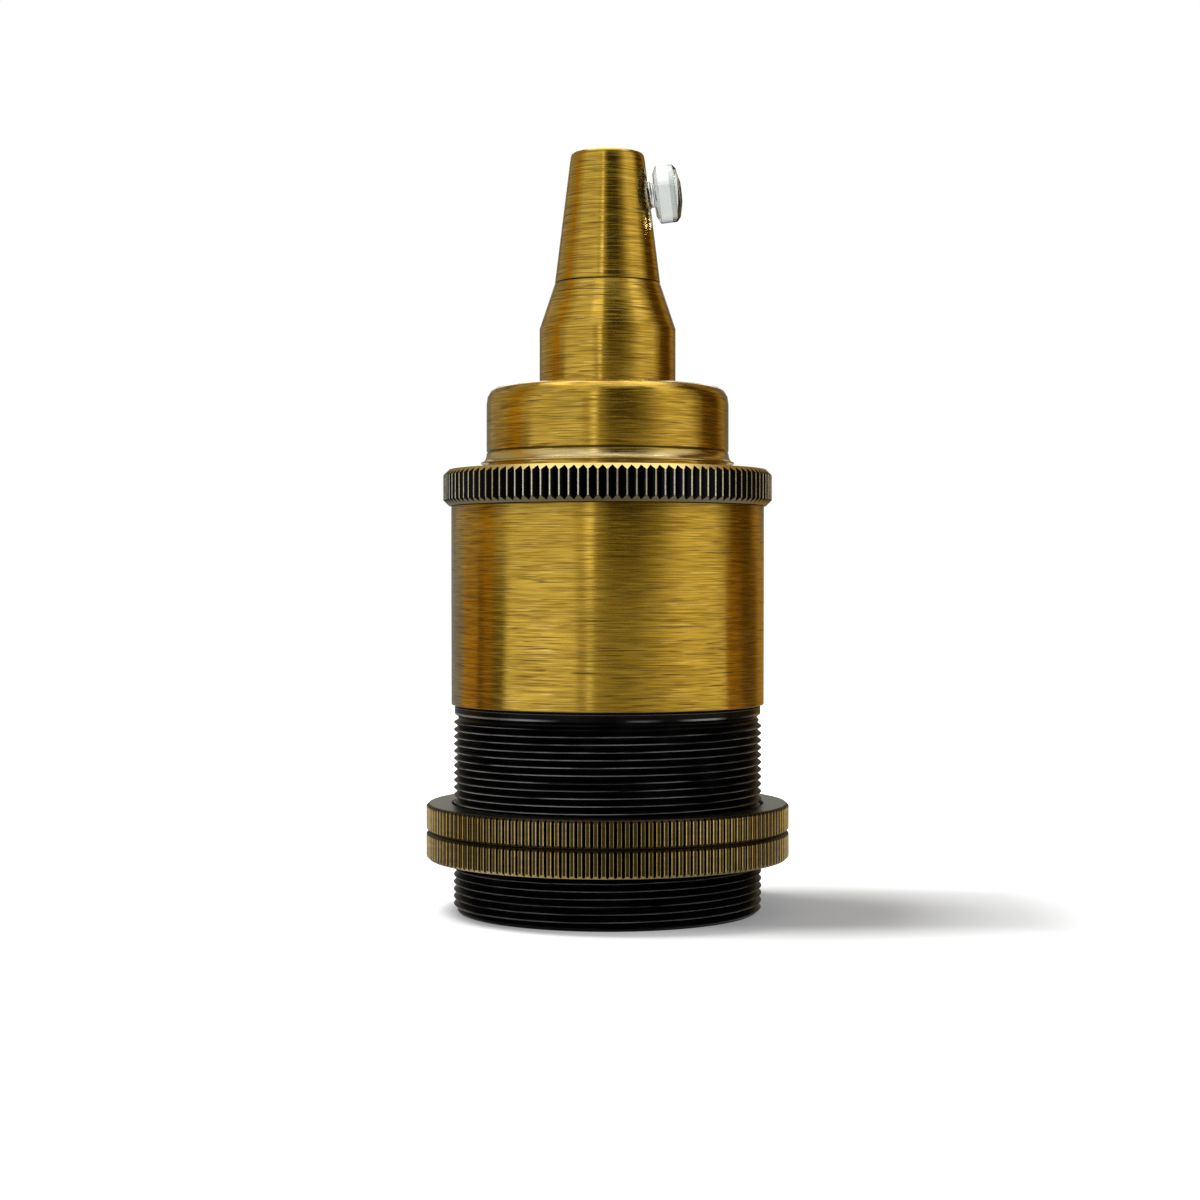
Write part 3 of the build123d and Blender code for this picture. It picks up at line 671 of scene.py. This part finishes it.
def brushed_brass(name):
    """Antique brass, brushed round the axis through its dark patina, under clear lacquer."""
    material, nodes, place = new_material(name)
    streaks = brush_lines(nodes, place, 7.0, 0.17)
    fine = brush_lines(nodes, place, 4.0, 0.11)
    patches = nodes.noise(place, 150.0, 2.0)
    worn = (streaks * 0.45 + fine * 0.40 + patches * 0.15).rise(0.38, 0.62)
    scratch = brush_lines(nodes, place, 6.0, 0.15).rise(0.62, 0.68)
    glint = brush_lines(nodes, place, 5.0, 0.14).rise(0.65, 0.72)
    rough_lines = brush_lines(nodes, place, 4.0, 0.13).rise(0.45, 0.65).most(scratch)
    colour = nodes.mix(worn, BRASS_DARK, BRASS_BRIGHT)
    colour = nodes.mix(glint * 0.65, colour, BRASS_GLINT)
    colour = nodes.mix(scratch * 0.75, colour, BRASS_SCRATCH)
    # Painted sheen: paler brass on the cap's flare
    colour = nodes.mix(flare_sheen(nodes, place), colour, BRASS_FLARE_SHEEN)
    # Painted shade in the grip's joint, the cap's groove and below the union ring
    colour = nodes.mix(joint_shade(nodes, place), colour, JOINT_SHADE_PAINT)
    finish_material(nodes, {
        "Base Color": colour, "Metallic": 1.0, "Roughness": 0.16 + rough_lines * 0.22,
        "Anisotropic": 0.85, "Anisotropic Rotation": 0.25,
        "Coat Weight": 0.22, "Coat Roughness": 0.12,
    }, bump=fine, bump_height=0.002 * MM)
    return material


def flare_sheen(nodes, place):
    """Paler brass on the cap's flare, a painted sheen."""
    height = nodes.parts(place)[2] / MM
    foot = UNION_TOP + CAP_FLARE_GAP
    top = foot + CAP_FLARE_HEIGHT
    return height.rise(foot - 0.1, foot) * (1 - height.rise(top - 0.3, top)) * 0.7


def joint_shade(nodes, place):
    """Painted shade in the grip's joint and the cap's groove, and fading down below the union ring.
    """
    height = nodes.parts(place)[2] / MM
    joint = 1 - (height - CONE_BOTTOM).absolute().rise(0.07, 0.14)
    groove_height = UNION_TOP + CAP_FLARE_GAP + CAP_FLARE_HEIGHT + CAP_GROOVE_WIDTH / 2
    groove = 1 - (height - groove_height).absolute().rise(0.10, 0.20)
    below_top = 1 - height.rise(BARREL_TOP, BARREL_TOP + 0.1)
    under_ring = height.rise(BARREL_TOP - 1.6, BARREL_TOP) * below_top
    return joint.most(groove * 0.8).most(under_ring * 0.45)


def black_finish(name):
    """Glossy black oxide, worn to grey metal on the skirt's thread and the collar's edges."""
    material, nodes, place = new_material(name)
    x, y, z = nodes.parts(place)
    radius = (x * x + y * y).root() / MM
    height = z / MM
    lines = brush_lines(nodes, place, 8.0, 0.12, 2.0)
    patches = nodes.noise(place, 90.0, 1.0)
    smudges = nodes.noise(place, 240.0, 3.0)
    crest = radius.rise(SKIRT_R - 0.08, SKIRT_R - 0.04) * lines.rise(0.36, 0.62)
    bevel_top = COLLAR_BOTTOM + COLLAR_BEVEL
    lower_edge = 1 - (height - bevel_top - 0.1).absolute().rise(0.08, 0.16)
    upper_edge = 1 - (height - COLLAR_TOP).absolute().rise(0.04, 0.10)
    rubbed = lower_edge * patches.rise(0.40, 0.55) + upper_edge * 0.4
    worn = crest.most(rubbed * radius.rise(SKIRT_ROOT_R + 0.1, SKIRT_ROOT_R + 0.2))
    colour = nodes.mix(smudges.rise(0.45, 0.75), OXIDE, OXIDE_SMUDGE)
    colour = nodes.mix(worn, colour, OXIDE_WORN)
    finish_material(nodes, {
        "Base Color": colour, "Metallic": worn * 0.6, "Roughness": 0.20 + worn * 0.15, "IOR": 1.15,
    }, bump=lines, bump_height=0.003 * MM)
    return material


def knurl_finish(name, ring_r, teeth, ridge_share, wear, edge, land, groove, upper_shading, lower_shading, face):
    """Blackened knurled ring with rubbed ridge edges and painted light and shade on its chamfers.

    wear is the rubbed share of half a pitch beside a ridge's edge. The colours are those of the
    ridges' edges and tops, the grooves, the painted light and shade of the chamfers that face up
    and down, and the flat faces.
    """
    material, nodes, place = new_material(name)
    x, y, _ = nodes.parts(place)
    tooth = x.maths("ARCTAN2", y, x) * (teeth / tau)
    off_centre = tooth.wave()
    radius = (x * x + y * y).root() / MM
    lines = brush_lines(nodes, place, 3.0, 0.09, 2.0)
    patches = nodes.noise(place, 900.0, 3.0)
    beside_edge = (off_centre - ridge_share).absolute() + (patches - 0.5) * 0.06
    rubbed = 1 - beside_edge.rise(wear * 0.6, wear)
    on_land = 1 - off_centre.rise(ridge_share - 0.03, ridge_share + 0.03)
    colour = nodes.mix(on_land, groove, land)
    colour = nodes.mix(rubbed * radius.rise(ring_r - 0.15, ring_r - 0.08), colour, edge)
    colour = nodes.mix(lines.rise(0.45, 0.75) * 0.5, colour, groove)
    # Chamfers that face up and those that face down take painted light and shade
    normal = nodes.add("ShaderNodeTexCoord", output="Normal")
    slope = nodes.parts(normal)[2]
    colour = nodes.mix(slope.rise(0.4, 0.55), colour, upper_shading)
    colour = nodes.mix((0 - slope).rise(0.4, 0.55), colour, lower_shading)
    colour = nodes.mix(slope.absolute().rise(0.85, 0.95), colour, face)
    finish_material(nodes, {
        "Base Color": colour, "Metallic": 1.0, "Roughness": 0.24 + lines * 0.15,
    }, bump=lines, bump_height=0.004 * MM)
    return material


def clear_plastic():
    """Clear plastic whose colour darkens where it is seen at a slant: painted shade at its edges.
    """
    material, nodes, place = new_material("clear plastic")
    ripples = nodes.noise(place, 700.0, 1.0)
    slant = nodes.add("ShaderNodeLayerWeight", None, {"Blend": 0.5}, "Facing")
    # Painted shade: the colour darkens where the plastic is seen at a slant
    colour = nodes.mix(slant.rise(0.42, 0.80), PLASTIC, PLASTIC_SLANT_SHADE)
    finish_material(nodes, {
        "Base Color": colour, "Roughness": 0.01 + ripples * 0.03,
        "Transmission Weight": 1.0, "IOR": 1.49,
    }, bump=ripples, bump_height=0.006 * MM)
    return material


def glazed_porcelain():
    """White glaze with faint clouds and a few iron specks."""
    material, nodes, place = new_material("glazed porcelain")
    clouds = nodes.noise(place, 120.0, 3.0)
    specks = nodes.noise(place, 2600.0, 1.0).rise(0.74, 0.80)
    colour = nodes.mix(clouds, PORCELAIN_DULL, PORCELAIN_WHITE)
    colour = nodes.mix(specks * 0.5, colour, PORCELAIN_SPECK)
    finish_material(nodes, {
        "Base Color": colour, "Roughness": 0.16 + clouds * 0.12, "Coat Weight": 0.4,
    }, bump=clouds, bump_height=0.08 * MM)
    return material


def bare_metal(name, dark, bright, rough):
    """Drawn or plated sheet metal with faint lines and cloudy tarnish."""
    material, nodes, place = new_material(name)
    clouds = nodes.noise(place, 260.0, 4.0)
    lines = brush_lines(nodes, place, 4.0, 0.2, 2.0)
    colour = nodes.mix((clouds * 0.7 + lines * 0.3).rise(0.3, 0.7), dark, bright)
    finish_material(nodes, {
        "Base Color": colour, "Metallic": 1.0, "Roughness": rough + clouds * 0.15,
    }, bump=lines, bump_height=0.004 * MM)
    return material


# Outer shell: black threaded skirt and relief, brushed barrel, threaded spigot on top
def make_outer_shell():
    skirt = thread(
        SKIRT_R, SKIRT_ROOT_R, FINE_PITCH, RIM_HEIGHT, SKIRT_THREAD_TOP, black,
        run_out=0.5, crest_share=0.08,
    )
    spigot = thread(
        SPIGOT_R, SPIGOT_ROOT_R, FINE_PITCH, BARREL_TOP, SPIGOT_TOP, black,
        run_out=0.4, crest_share=0.15,
    )
    middle = rounded(
        (SKIRT_ROOT_R, SKIRT_THREAD_TOP, 0),
        (SKIRT_ROOT_R, COLLAR_BOTTOM, 0.05),
        (COLLAR_R, COLLAR_BOTTOM + COLLAR_BEVEL, 0.1),
        (COLLAR_R, COLLAR_TOP, 0.06),
        (SKIRT_ROOT_R, COLLAR_TOP + COLLAR_STEP, 0.05),
        (SKIRT_ROOT_R, BARREL_BOTTOM, 0),
        (BARREL_R, BARREL_BOTTOM, 0.12),
        (BARREL_R, BARREL_TOP, 0.12),
        (SPIGOT_ROOT_R, BARREL_TOP, 0),
    )
    bore = rounded(
        (SPIGOT_ROOT_R, SPIGOT_TOP, 0),
        (SHELL_BORE_R, SPIGOT_TOP, 0.15),
        (SHELL_BORE_R, RIM_HEIGHT, 0.3),
        (SKIRT_ROOT_R, RIM_HEIGHT, 0),
    )
    shell = piece(
        "shell_with_threads", skirt, spigot, turned(middle, closed=False),
        turned(bore, closed=False),
    )
    shell.data.materials.append(brass)
    shell.data.materials.append(black)
    for face in shell.data.polygons:
        radius = face.center.xy.length / MM
        height = face.center.z / MM
        on_barrel = height > BARREL_BOTTOM - HAIR and radius > SPIGOT_R + HAIR
        face.material_index = 0 if on_barrel else 1
    stand_for(shell, "outer_shell", "shell")


# Knurled rings: a tooth's outline at the ridge and in the valley, repeated round the ring
def knurl_tooth(outline, radius, depth, teeth, ridge_share):
    """One tooth: its outline is cut off at the V groove's radius towards both sides.

    Each face is split where the chamfer meets the groove's flank, so that grooves end in points.
    """
    work = bmesh.new()
    half = pi / teeth
    columns = []
    for side in (-1.0, -ridge_share, ridge_share, 1.0):
        angle = side * half
        flat_r = radius * cos(half * ridge_share) / cos(angle)
        limit = flat_r if abs(side) == ridge_share else radius - depth
        columns.append([
            work.verts.new(Vector((min(r, limit) * cos(angle), min(r, limit) * sin(angle), z)) * MM)
            for r, z in outline
        ])
    for left, right in zip(columns, columns[1:]):
        for row in range(len(outline)):
            above = (row + 1) % len(outline)
            ridge, groove = (right, left) if right is columns[1] else (left, right)
            outer, inner = (above, row) if outline[above][0] > outline[row][0] else (row, above)
            for third in (ridge[inner], groove[outer]):
                corners = {ridge[outer], groove[inner], third}
                if len({tuple(corner.co) for corner in corners}) == 3:
                    work.faces.new(corners)
    bmesh.ops.remove_doubles(work, verts=work.verts, dist=WELD)
    mesh = bpy.data.meshes.new("tooth")
    work.to_mesh(mesh)
    work.free()
    return mesh


def knurled_ring(name, outline, radius, depth, teeth, ridge_share, material):
    tooth = knurl_tooth(outline, radius, depth, teeth, ridge_share)
    ring = grown_mesh(name, knurled, {"Teeth": teeth, "Material": material}, start=tooth)
    return piece(name, ring, material=material)


def make_shade_rings():
    half = [
        (SHADE_BORE_R, SHADE_BORE_EDGE),
        (SHADE_BORE_R + SHADE_BORE_EDGE, 0.0),
        (SHADE_RING_R - SHADE_RING_CHAMFER, 0.0),
        (SHADE_RING_R - SHADE_KNURL_DEPTH, SHADE_RING_CHAMFER - SHADE_KNURL_DEPTH),
        (SHADE_RING_R - SHADE_RIDGE_EDGE, SHADE_RING_CHAMFER - SHADE_RIDGE_EDGE),
        (SHADE_RING_R, SHADE_RING_CHAMFER),
    ]
    for node in ("shade_ring_upper", "shade_ring_lower"):
        bottom, top, _ = span(node)
        outline = [(radius, bottom + step) for radius, step in half]
        outline += [(radius, top - step) for radius, step in reversed(half)]
        ring = knurled_ring(
            node + "_knurled", outline, SHADE_RING_R, SHADE_KNURL_DEPTH, SHADE_TEETH,
            SHADE_RIDGE_SHARE, shade_ring_brass,
        )
        stand_for(ring, node, node)


def make_union_ring():
    valley_r = UNION_RING_R - UNION_KNURL_DEPTH
    run = UNION_CHAMFER - UNION_KNURL_DEPTH
    outline = [
        (UNION_BORE_R, UNION_BOTTOM),
        (UNION_RING_R - UNION_CHAMFER, UNION_BOTTOM),
        (valley_r, UNION_BOTTOM + run),
        (UNION_RING_R, UNION_BOTTOM + UNION_CHAMFER),
        (UNION_RING_R, UNION_TOP - UNION_CHAMFER),
        (valley_r, UNION_TOP - run),
        (UNION_RING_R - UNION_CHAMFER, UNION_TOP),
        (UNION_LIP_R + UNION_LIP_EDGE, UNION_TOP),
        (UNION_LIP_R, UNION_TOP - UNION_LIP_EDGE),
        (UNION_LIP_R, UNION_TOP - UNION_LIP),
        (UNION_BORE_R, UNION_TOP - UNION_LIP),
    ]
    ring = knurled_ring(
        "union_ring_knurled", outline, UNION_RING_R, UNION_KNURL_DEPTH, UNION_TEETH,
        UNION_RIDGE_SHARE, union_ring_brass,
    )
    stand_for(ring, "union_ring", "union_ring")


# Cap and cord grip
def make_cap():
    flare_bottom = UNION_TOP + CAP_FLARE_GAP
    lip_top = flare_bottom + CAP_LIP_EDGE
    flare_top = flare_bottom + CAP_FLARE_HEIGHT
    groove_top = flare_top + CAP_GROOVE_WIDTH
    flange_top = FLANGE_BOTTOM + CAP_FLANGE
    flare = []
    for step in range(1, FLARE_STEPS + 1):
        turn = pi / 2 * step / FLARE_STEPS
        radius = CAP_LIP_R - (CAP_LIP_R - CAP_R) * sin(turn)
        flare.append((radius, lip_top + (flare_top - lip_top) * (1 - cos(turn)), 0))
    outline = rounded(
        (CAP_LIP_R, lip_top, 0.08),
        *flare,
        (CAP_R - CAP_GROOVE_DEPTH, (flare_top + groove_top) / 2, 0.04),
        (CAP_R, groove_top, 0.06),
        (CAP_R, CAP_TOP, CAP_ROUND),
        (NIPPLE_HOLE_R, CAP_TOP, 0),
        (NIPPLE_HOLE_R, CAP_TOP - CAP_WALL, 0),
        (CAP_BORE_R, CAP_TOP - CAP_WALL, 0.4),
        (CAP_BORE_R, FLANGE_BOTTOM, 0.1),
        (CAP_FLANGE_R, FLANGE_BOTTOM, 0.1),
        (CAP_FLANGE_R, flange_top, 0.1),
        (CAP_NECK_R, flange_top, 0.05),
        (CAP_NECK_R, flare_bottom, 0.05),
        (CAP_LIP_R, flare_bottom, 0.06),
    )
    dress("cap_turned", outline, "cap", "head")


def make_grip_base():
    outline = rounded(
        (NIPPLE_HOLE_R, GRIP_BOTTOM, 0),
        (GRIP_BASE_R, GRIP_BOTTOM, 0.12),
        (GRIP_BASE_R, GRIP_SHOULDER_BOTTOM, 0.35),
        (GRIP_JOINT_R, CONE_BOTTOM, 0.14),
        (NIPPLE_HOLE_R, CONE_BOTTOM, 0),
    )
    dress("grip_base_turned", outline, "grip_base", "head")


def cone_outline():
    mouth_bottom = CONE_TOP - CORD_MOUTH_LENGTH
    socket_top = CONE_BOTTOM + CONE_SOCKET_DEPTH
    return rounded(
        (NIPPLE_HOLE_R, CONE_BOTTOM, 0),
        (GRIP_JOINT_R, CONE_BOTTOM, 0.12),
        (CONE_TOP_R, CONE_TOP, CONE_TOP_ROUND),
        (CORD_MOUTH_R, CONE_TOP, 0.2),
        (CORD_MOUTH_R, mouth_bottom, 0.1),
        (CORD_CHAMBER_R, mouth_bottom, 0.1),
        (CORD_CHAMBER_R, socket_top, 0),
        (NIPPLE_HOLE_R, socket_top, 0),
    )


def clamp_place(lift=0.0):
    """Place on the cone's wall, with Z out along the clamp screw's axis, in metres."""
    slope = (GRIP_JOINT_R - CONE_TOP_R) / (CONE_TOP - CONE_BOTTOM)
    tilt = atan(slope)
    out = Vector((cos(tilt), 0, sin(tilt)))
    side = Vector((0, 1, 0))
    wall = Vector((GRIP_JOINT_R - slope * CLAMP_HEIGHT, 0, CONE_BOTTOM + CLAMP_HEIGHT)) + out * lift
    turn = Matrix((side, out.cross(side), out)).transposed()
    return Matrix.Translation(wall * MM) @ turn.to_4x4()


def make_grip_cone():
    outline = divided(cone_outline(), CONE_STEP)
    cone = piece("grip_cone_turned", turned(outline + outline[:1]), material=brass)
    sink = CLAMP_COUNTERSINK_R - CLAMP_THREAD_R
    hole_r = CLAMP_THREAD_R + CLAMP_HOLE_GAP
    hole = turned([
        (0.0, -CORD_CHAMBER_R), (hole_r, -CORD_CHAMBER_R), (hole_r, -sink),
        (CLAMP_COUNTERSINK_R, 0.0), (CLAMP_COUNTERSINK_R + sink, sink), (0.0, sink),
    ], columns=SMALL_COLUMNS)
    cut(cone, piece("clamp_hole", hole, place=clamp_place()))
    stand_for(cone, "grip_cone", "head")


def make_clamp_screw():
    dome_bottom = CLAMP_HEAD - CLAMP_DOME
    shank = thread(
        CLAMP_THREAD_R, CLAMP_ROOT_R, CLAMP_PITCH, -CLAMP_LENGTH, -CLAMP_NECK, clear,
        run_out=0.3, crest_share=0.15, columns=SMALL_COLUMNS,
    )
    tip = [(0.0, -CLAMP_LENGTH), (CLAMP_ROOT_R, -CLAMP_LENGTH)]
    head = rounded(
        (CLAMP_ROOT_R, -CLAMP_NECK, 0),
        (CLAMP_ROOT_R, 0.0, 0.1),
        (CLAMP_FOOT_R, 0.0, 0.08),
        (CLAMP_HEAD_R, CLAMP_FOOT_BEVEL, 0.10),
        (CLAMP_HEAD_R, dome_bottom, 0.15),
        (CLAMP_DOME_R, dome_bottom + CLAMP_DOME_EDGE, 0.5),
        (CLAMP_FACE_R, CLAMP_HEAD, 0.5),
        (0.0, CLAMP_HEAD, 0),
    )
    ends = [turned(outline, closed=False, columns=SMALL_COLUMNS) for outline in (tip, head)]
    screw = piece("clamp_screw_clear", shank, *ends, material=clear)
    slot = box_piece(
        "slot", (3 * CLAMP_HEAD_R, CLAMP_SLOT_WIDTH, 2 * CLAMP_SLOT_DEPTH),
        (0, 0, CLAMP_HEAD), CLAMP_SLOT_TURN,
    )
    cut(screw, slot)
    screw.data.transform(clamp_place(CLAMP_HEAD_GAP))
    stand_for(screw, "clamp_screw", "clamp_screw")


# Screw shell: rolled thread of thin brass, closed by a floor with a slot and a screw hole
def make_screw_shell():
    floor_bottom = SHELL_FLOOR_TOP - SHELL_SHEET
    bottom = SHELL_BOTTOM + SHELL_LIP
    top = floor_bottom - SHELL_SHOULDER
    inside, outside = (
        thread(
            LAMP_CREST_R + step, LAMP_ROOT_R + step, LAMP_PITCH, bottom, top, contact_brass,
            run_out=1.2, crest_share=0.1, rows=ROLLED_ROWS,
        )
        for step in (0, SHELL_SHEET)
    )
    lip = [
        (LAMP_ROOT_R, bottom), (LAMP_ROOT_R, SHELL_BOTTOM),
        (LAMP_ROOT_R + SHELL_SHEET, SHELL_BOTTOM), (LAMP_ROOT_R + SHELL_SHEET, bottom),
    ]
    floor = [
        (LAMP_ROOT_R, top), (LAMP_ROOT_R, floor_bottom), (SHELL_FLOOR_HOLE_R, floor_bottom),
        (SHELL_FLOOR_HOLE_R, SHELL_FLOOR_TOP), (SHELL_OUTER_R, SHELL_FLOOR_TOP),
        (SHELL_OUTER_R, top),
    ]
    shell = piece(
        "screw_shell_rolled", inside, outside, turned(lip, closed=False),
        turned(floor, closed=False), material=contact_brass,
    )
    slot = box_piece(
        "floor_slot", (SHELL_SLOT_LENGTH, 2 * SHELL_FLOOR_HOLE_R, 4 * SHELL_SHEET),
        (0, SHELL_SLOT_OFFSET, SHELL_FLOOR_TOP),
    )
    below, above = floor_bottom - 1, SHELL_FLOOR_TOP + 1
    hole = turned([
        (0.0, below), (SHELL_SCREW_HOLE_R, below), (SHELL_SCREW_HOLE_R, above), (0.0, above),
    ], columns=HOLE_COLUMNS)
    hole_place = Matrix.Translation((0, -SHELL_SCREW_OFFSET * MM, 0))
    cut(shell, slot, piece("floor_hole", hole, place=hole_place))
    stand_for(shell, "screw_shell", "head")


# Inner pieces keep their CAD shapes and get their finishes
def finish_inner_pieces():
    finishes = {
        "porcelain": glazed_porcelain(), "contact_brass": contact_brass,
        "plated_steel": bare_metal("zinc plate", ZINC_DARK, ZINC_BRIGHT, rough=0.28),
    }
    for subpart in frame["record"]["subparts"]:
        if subpart["material_slot"] in finishes:
            materials = frame["nodes"][subpart["node"]].data.materials
            materials.clear()
            materials.append(finishes[subpart["material_slot"]])


# Studio
def card(name, quads, material, hidden_from=()):
    """Part of the studio: quads of four corners each, hidden from some kinds of ray."""
    mesh = bpy.data.meshes.new(name)
    corners = [corner for quad in quads for corner in quad]
    faces = [range(first, first + 4) for first in range(0, len(corners), 4)]
    mesh.from_pydata(corners, [], faces)
    mesh.materials.append(material)
    stage(name, mesh, hidden_from)


def stage(name, mesh, hidden_from):
    """Object that belongs to the studio and not to the holder."""
    made = new_object(name, mesh)
    for ray in hidden_from:
        setattr(made, "visible_" + ray, False)


def panel_bands(nodes, azimuth, panels):
    """Colours of the panels by azimuth, with a straight change from each one to the next."""
    stops = [
        (degrees / 360 + 0.5, tuple(part * brightness for part in colour))
        for first, last, colour, brightness in panels for degrees in (first, last)
    ]
    return nodes.add("ShaderNodeValToRGB", {"stops": stops}, {0: azimuth / 360 + 0.5})


def make_reflector():
    """Bowl of light and dark bands round the holder, which shows in its gloss alone."""
    outline = [
        (REFLECTOR_HOLE_R, REFLECTOR_BOTTOM), (REFLECTOR_R, REFLECTOR_BOTTOM),
        (REFLECTOR_R, REFLECTOR_TOP),
    ]
    bowl = turned(
        [(radius / MM, height / MM) for radius, height in outline],
        closed=False, columns=REFLECTOR_COLUMNS,
    )
    material, nodes, place = new_material("reflector")
    x, y, height = nodes.parts(place)
    azimuth = x.maths("ARCTAN2", x, 0 - y) * (360 / tau)
    bands = nodes.mix(
        height.rise(*PANEL_STEP), panel_bands(nodes, azimuth, LOW_PANELS),
        panel_bands(nodes, azimuth, HIGH_PANELS),
    )
    left, right = (
        1 - (azimuth - middle).absolute().rise(*SHINE_FADE) for middle in SHINE_AZIMUTHS
    )
    shine = left.most(right) * height.rise(*SHINE_HEIGHTS)
    behind = azimuth.absolute().rise(*BACK_FADE) * height.rise(*BACK_HEIGHTS)
    away = (x * x + y * y).root().rise(REFLECTOR_NEAR, 2 * REFLECTOR_NEAR)
    bands = nodes.mix(shine, bands, SHINE_GLOW)
    bands = nodes.mix(behind, bands, BACK_GLOW)
    nodes.glow(nodes.mix(away, NEAR_GLOW, bands))
    bowl.materials.append(material)
    stage("reflector", bowl, GLOSS_ALONE)


def make_ceiling():
    """Bright card over the holder, which shows in its gloss alone."""
    material, nodes, _ = new_material("ceiling")
    nodes.glow(WHITE, CEILING_STRENGTH)
    corners = [
        (CEILING_LEFT, CEILING_FRONT, CEILING_HEIGHT),
        (CEILING_RIGHT, CEILING_FRONT, CEILING_HEIGHT),
        (CEILING_RIGHT, CEILING_BACK, CEILING_HEIGHT),
        (CEILING_LEFT, CEILING_BACK, CEILING_HEIGHT),
    ]
    card("ceiling", [corners], material, GLOSS_ALONE)


def make_flags():
    """Dark upright cards beside the holder, which show in its clear plastic alone."""
    material, nodes, _ = new_material("flags")
    nodes.glow((1, 1, 1), FLAG_STRENGTH)
    quads = []
    for first, last in FLAG_AZIMUTHS:
        corners = (first, FLAG_BOTTOM), (first, FLAG_TOP), (last, FLAG_TOP), (last, FLAG_BOTTOM)
        quads.append([
            (FLAG_R * sin(radians(azimuth)), -FLAG_R * cos(radians(azimuth)), height)
            for azimuth, height in corners
        ])
    card("flags", quads, material, CLEAR_ALONE)


def make_floor():
    """Pale floor that keeps the holder's shadow near it and is plain white beyond."""
    material, nodes, place = new_material("white floor")
    x, y, _ = nodes.parts(place)
    away = (x * x + y * y).root().rise(*SHADOW_FADE)
    away = away.most(y.absolute().rise(*SHADOW_SIDE_FADE) * SHADOW_SIDE_SHARE)
    paint = nodes.add("ShaderNodeBsdfDiffuse", None, {"Color": (*FLOOR_COLOUR, 1)})
    lift = nodes.add("ShaderNodeEmission", None, {
        "Strength": (SHADOW_LIFT + away * (1 - SHADOW_LIFT)) * seen_ray(nodes),
    })
    both = nodes.add("ShaderNodeAddShader", None, {0: paint, 1: lift})
    nodes.add("ShaderNodeOutputMaterial", None, {"Surface": both})
    half = FLOOR_SIZE / 2
    corners = [
        (side * half, end * half, -FLOOR_DROP)
        for side, end in ((-1, -1), (1, -1), (1, 1), (-1, 1))
    ]
    card("floor", [corners], material)


def seen_ray(nodes):
    """1 for rays that see the background: from the camera, off gloss, or through glass."""
    camera, glossy, through = (
        nodes.add("ShaderNodeLightPath", output=name)
        for name in ("Is Camera Ray", "Is Glossy Ray", "Is Transmission Ray")
    )
    return camera.most(glossy).most(through)


def make_world():
    """Faint even light, seen as white."""
    world = bpy.data.worlds.new("white surroundings")
    bpy.context.scene.world = world
    world.use_nodes = True
    nodes = Nodes(world.node_tree)
    strength = WORLD_STRENGTH + (1 - WORLD_STRENGTH) * seen_ray(nodes)
    light = nodes.add("ShaderNodeBackground", None, {"Color": (1, 1, 1, 1), "Strength": strength})
    nodes.add("ShaderNodeOutputWorld", None, {"Surface": light})


def make_key_light():
    """Square soft light aimed at the middle of the holder, which doesn't show in its gloss."""
    light = bpy.data.lights.new("key_softbox", "AREA")
    light.shape = "SQUARE"
    light.size = KEY_SIZE
    light.energy = KEY_POWER
    lamp = new_object("key_softbox", light)
    lamp.location = KEY_PLACE
    lamp.visible_glossy = False
    aim = Vector(KEY_AIM) - Vector(KEY_PLACE)
    lamp.rotation_euler = aim.to_track_quat("-Z", "Y").to_euler()


def make_camera():
    lens = bpy.data.cameras.new("camera")
    lens.lens = CAMERA_LENS
    lens.sensor_width = CAMERA_SENSOR
    lens.clip_start = CAMERA_NEAREST
    camera = new_object("camera", lens)
    camera.location = CAMERA_PLACE
    camera.rotation_euler = (radians(90 - CAMERA_DIP), 0, radians(CAMERA_TURN))
    bpy.context.scene.camera = camera


screw_thread = thread_tree()
knurled = knurl_tree()
brass = brushed_brass("antique brass")
black = black_finish("black oxide")
contact_brass = bare_metal("contact brass", CONTACT_DARK, CONTACT_BRIGHT, rough=0.22)
clear = clear_plastic()
# Shade rings: painted shade on the chamfers that face up, painted light on those that face down
shade_ring_brass = knurl_finish(
    "shade ring brass", SHADE_RING_R, SHADE_TEETH, SHADE_RIDGE_SHARE, wear=0.12,
    edge=(0.95, 0.72, 0.30), land=(0.060, 0.042, 0.014), groove=(0.004, 0.004, 0.003),
    upper_shading=(0.03, 0.022, 0.01), lower_shading=(0.42, 0.32, 0.11), face=(0.045, 0.045, 0.038),
)
# Union ring: painted light on its chamfers, brighter on those that face up
union_ring_brass = knurl_finish(
    "union ring brass", UNION_RING_R, UNION_TEETH, UNION_RIDGE_SHARE, wear=0.07,
    edge=(0.80, 0.77, 0.66), land=(0.80, 0.77, 0.66), groove=(0.008, 0.008, 0.008),
    upper_shading=(0.60, 0.44, 0.16), lower_shading=(0.40, 0.34, 0.19), face=(0.50, 0.36, 0.12),
)

make_outer_shell()
make_shade_rings()
make_union_ring()
make_cap()
make_grip_base()
make_grip_cone()
make_clamp_screw()
make_screw_shell()
finish_inner_pieces()

make_floor()
make_world()
make_reflector()
make_ceiling()
make_flags()
make_key_light()
make_camera()

bpy.context.scene.view_settings.view_transform = "Standard"
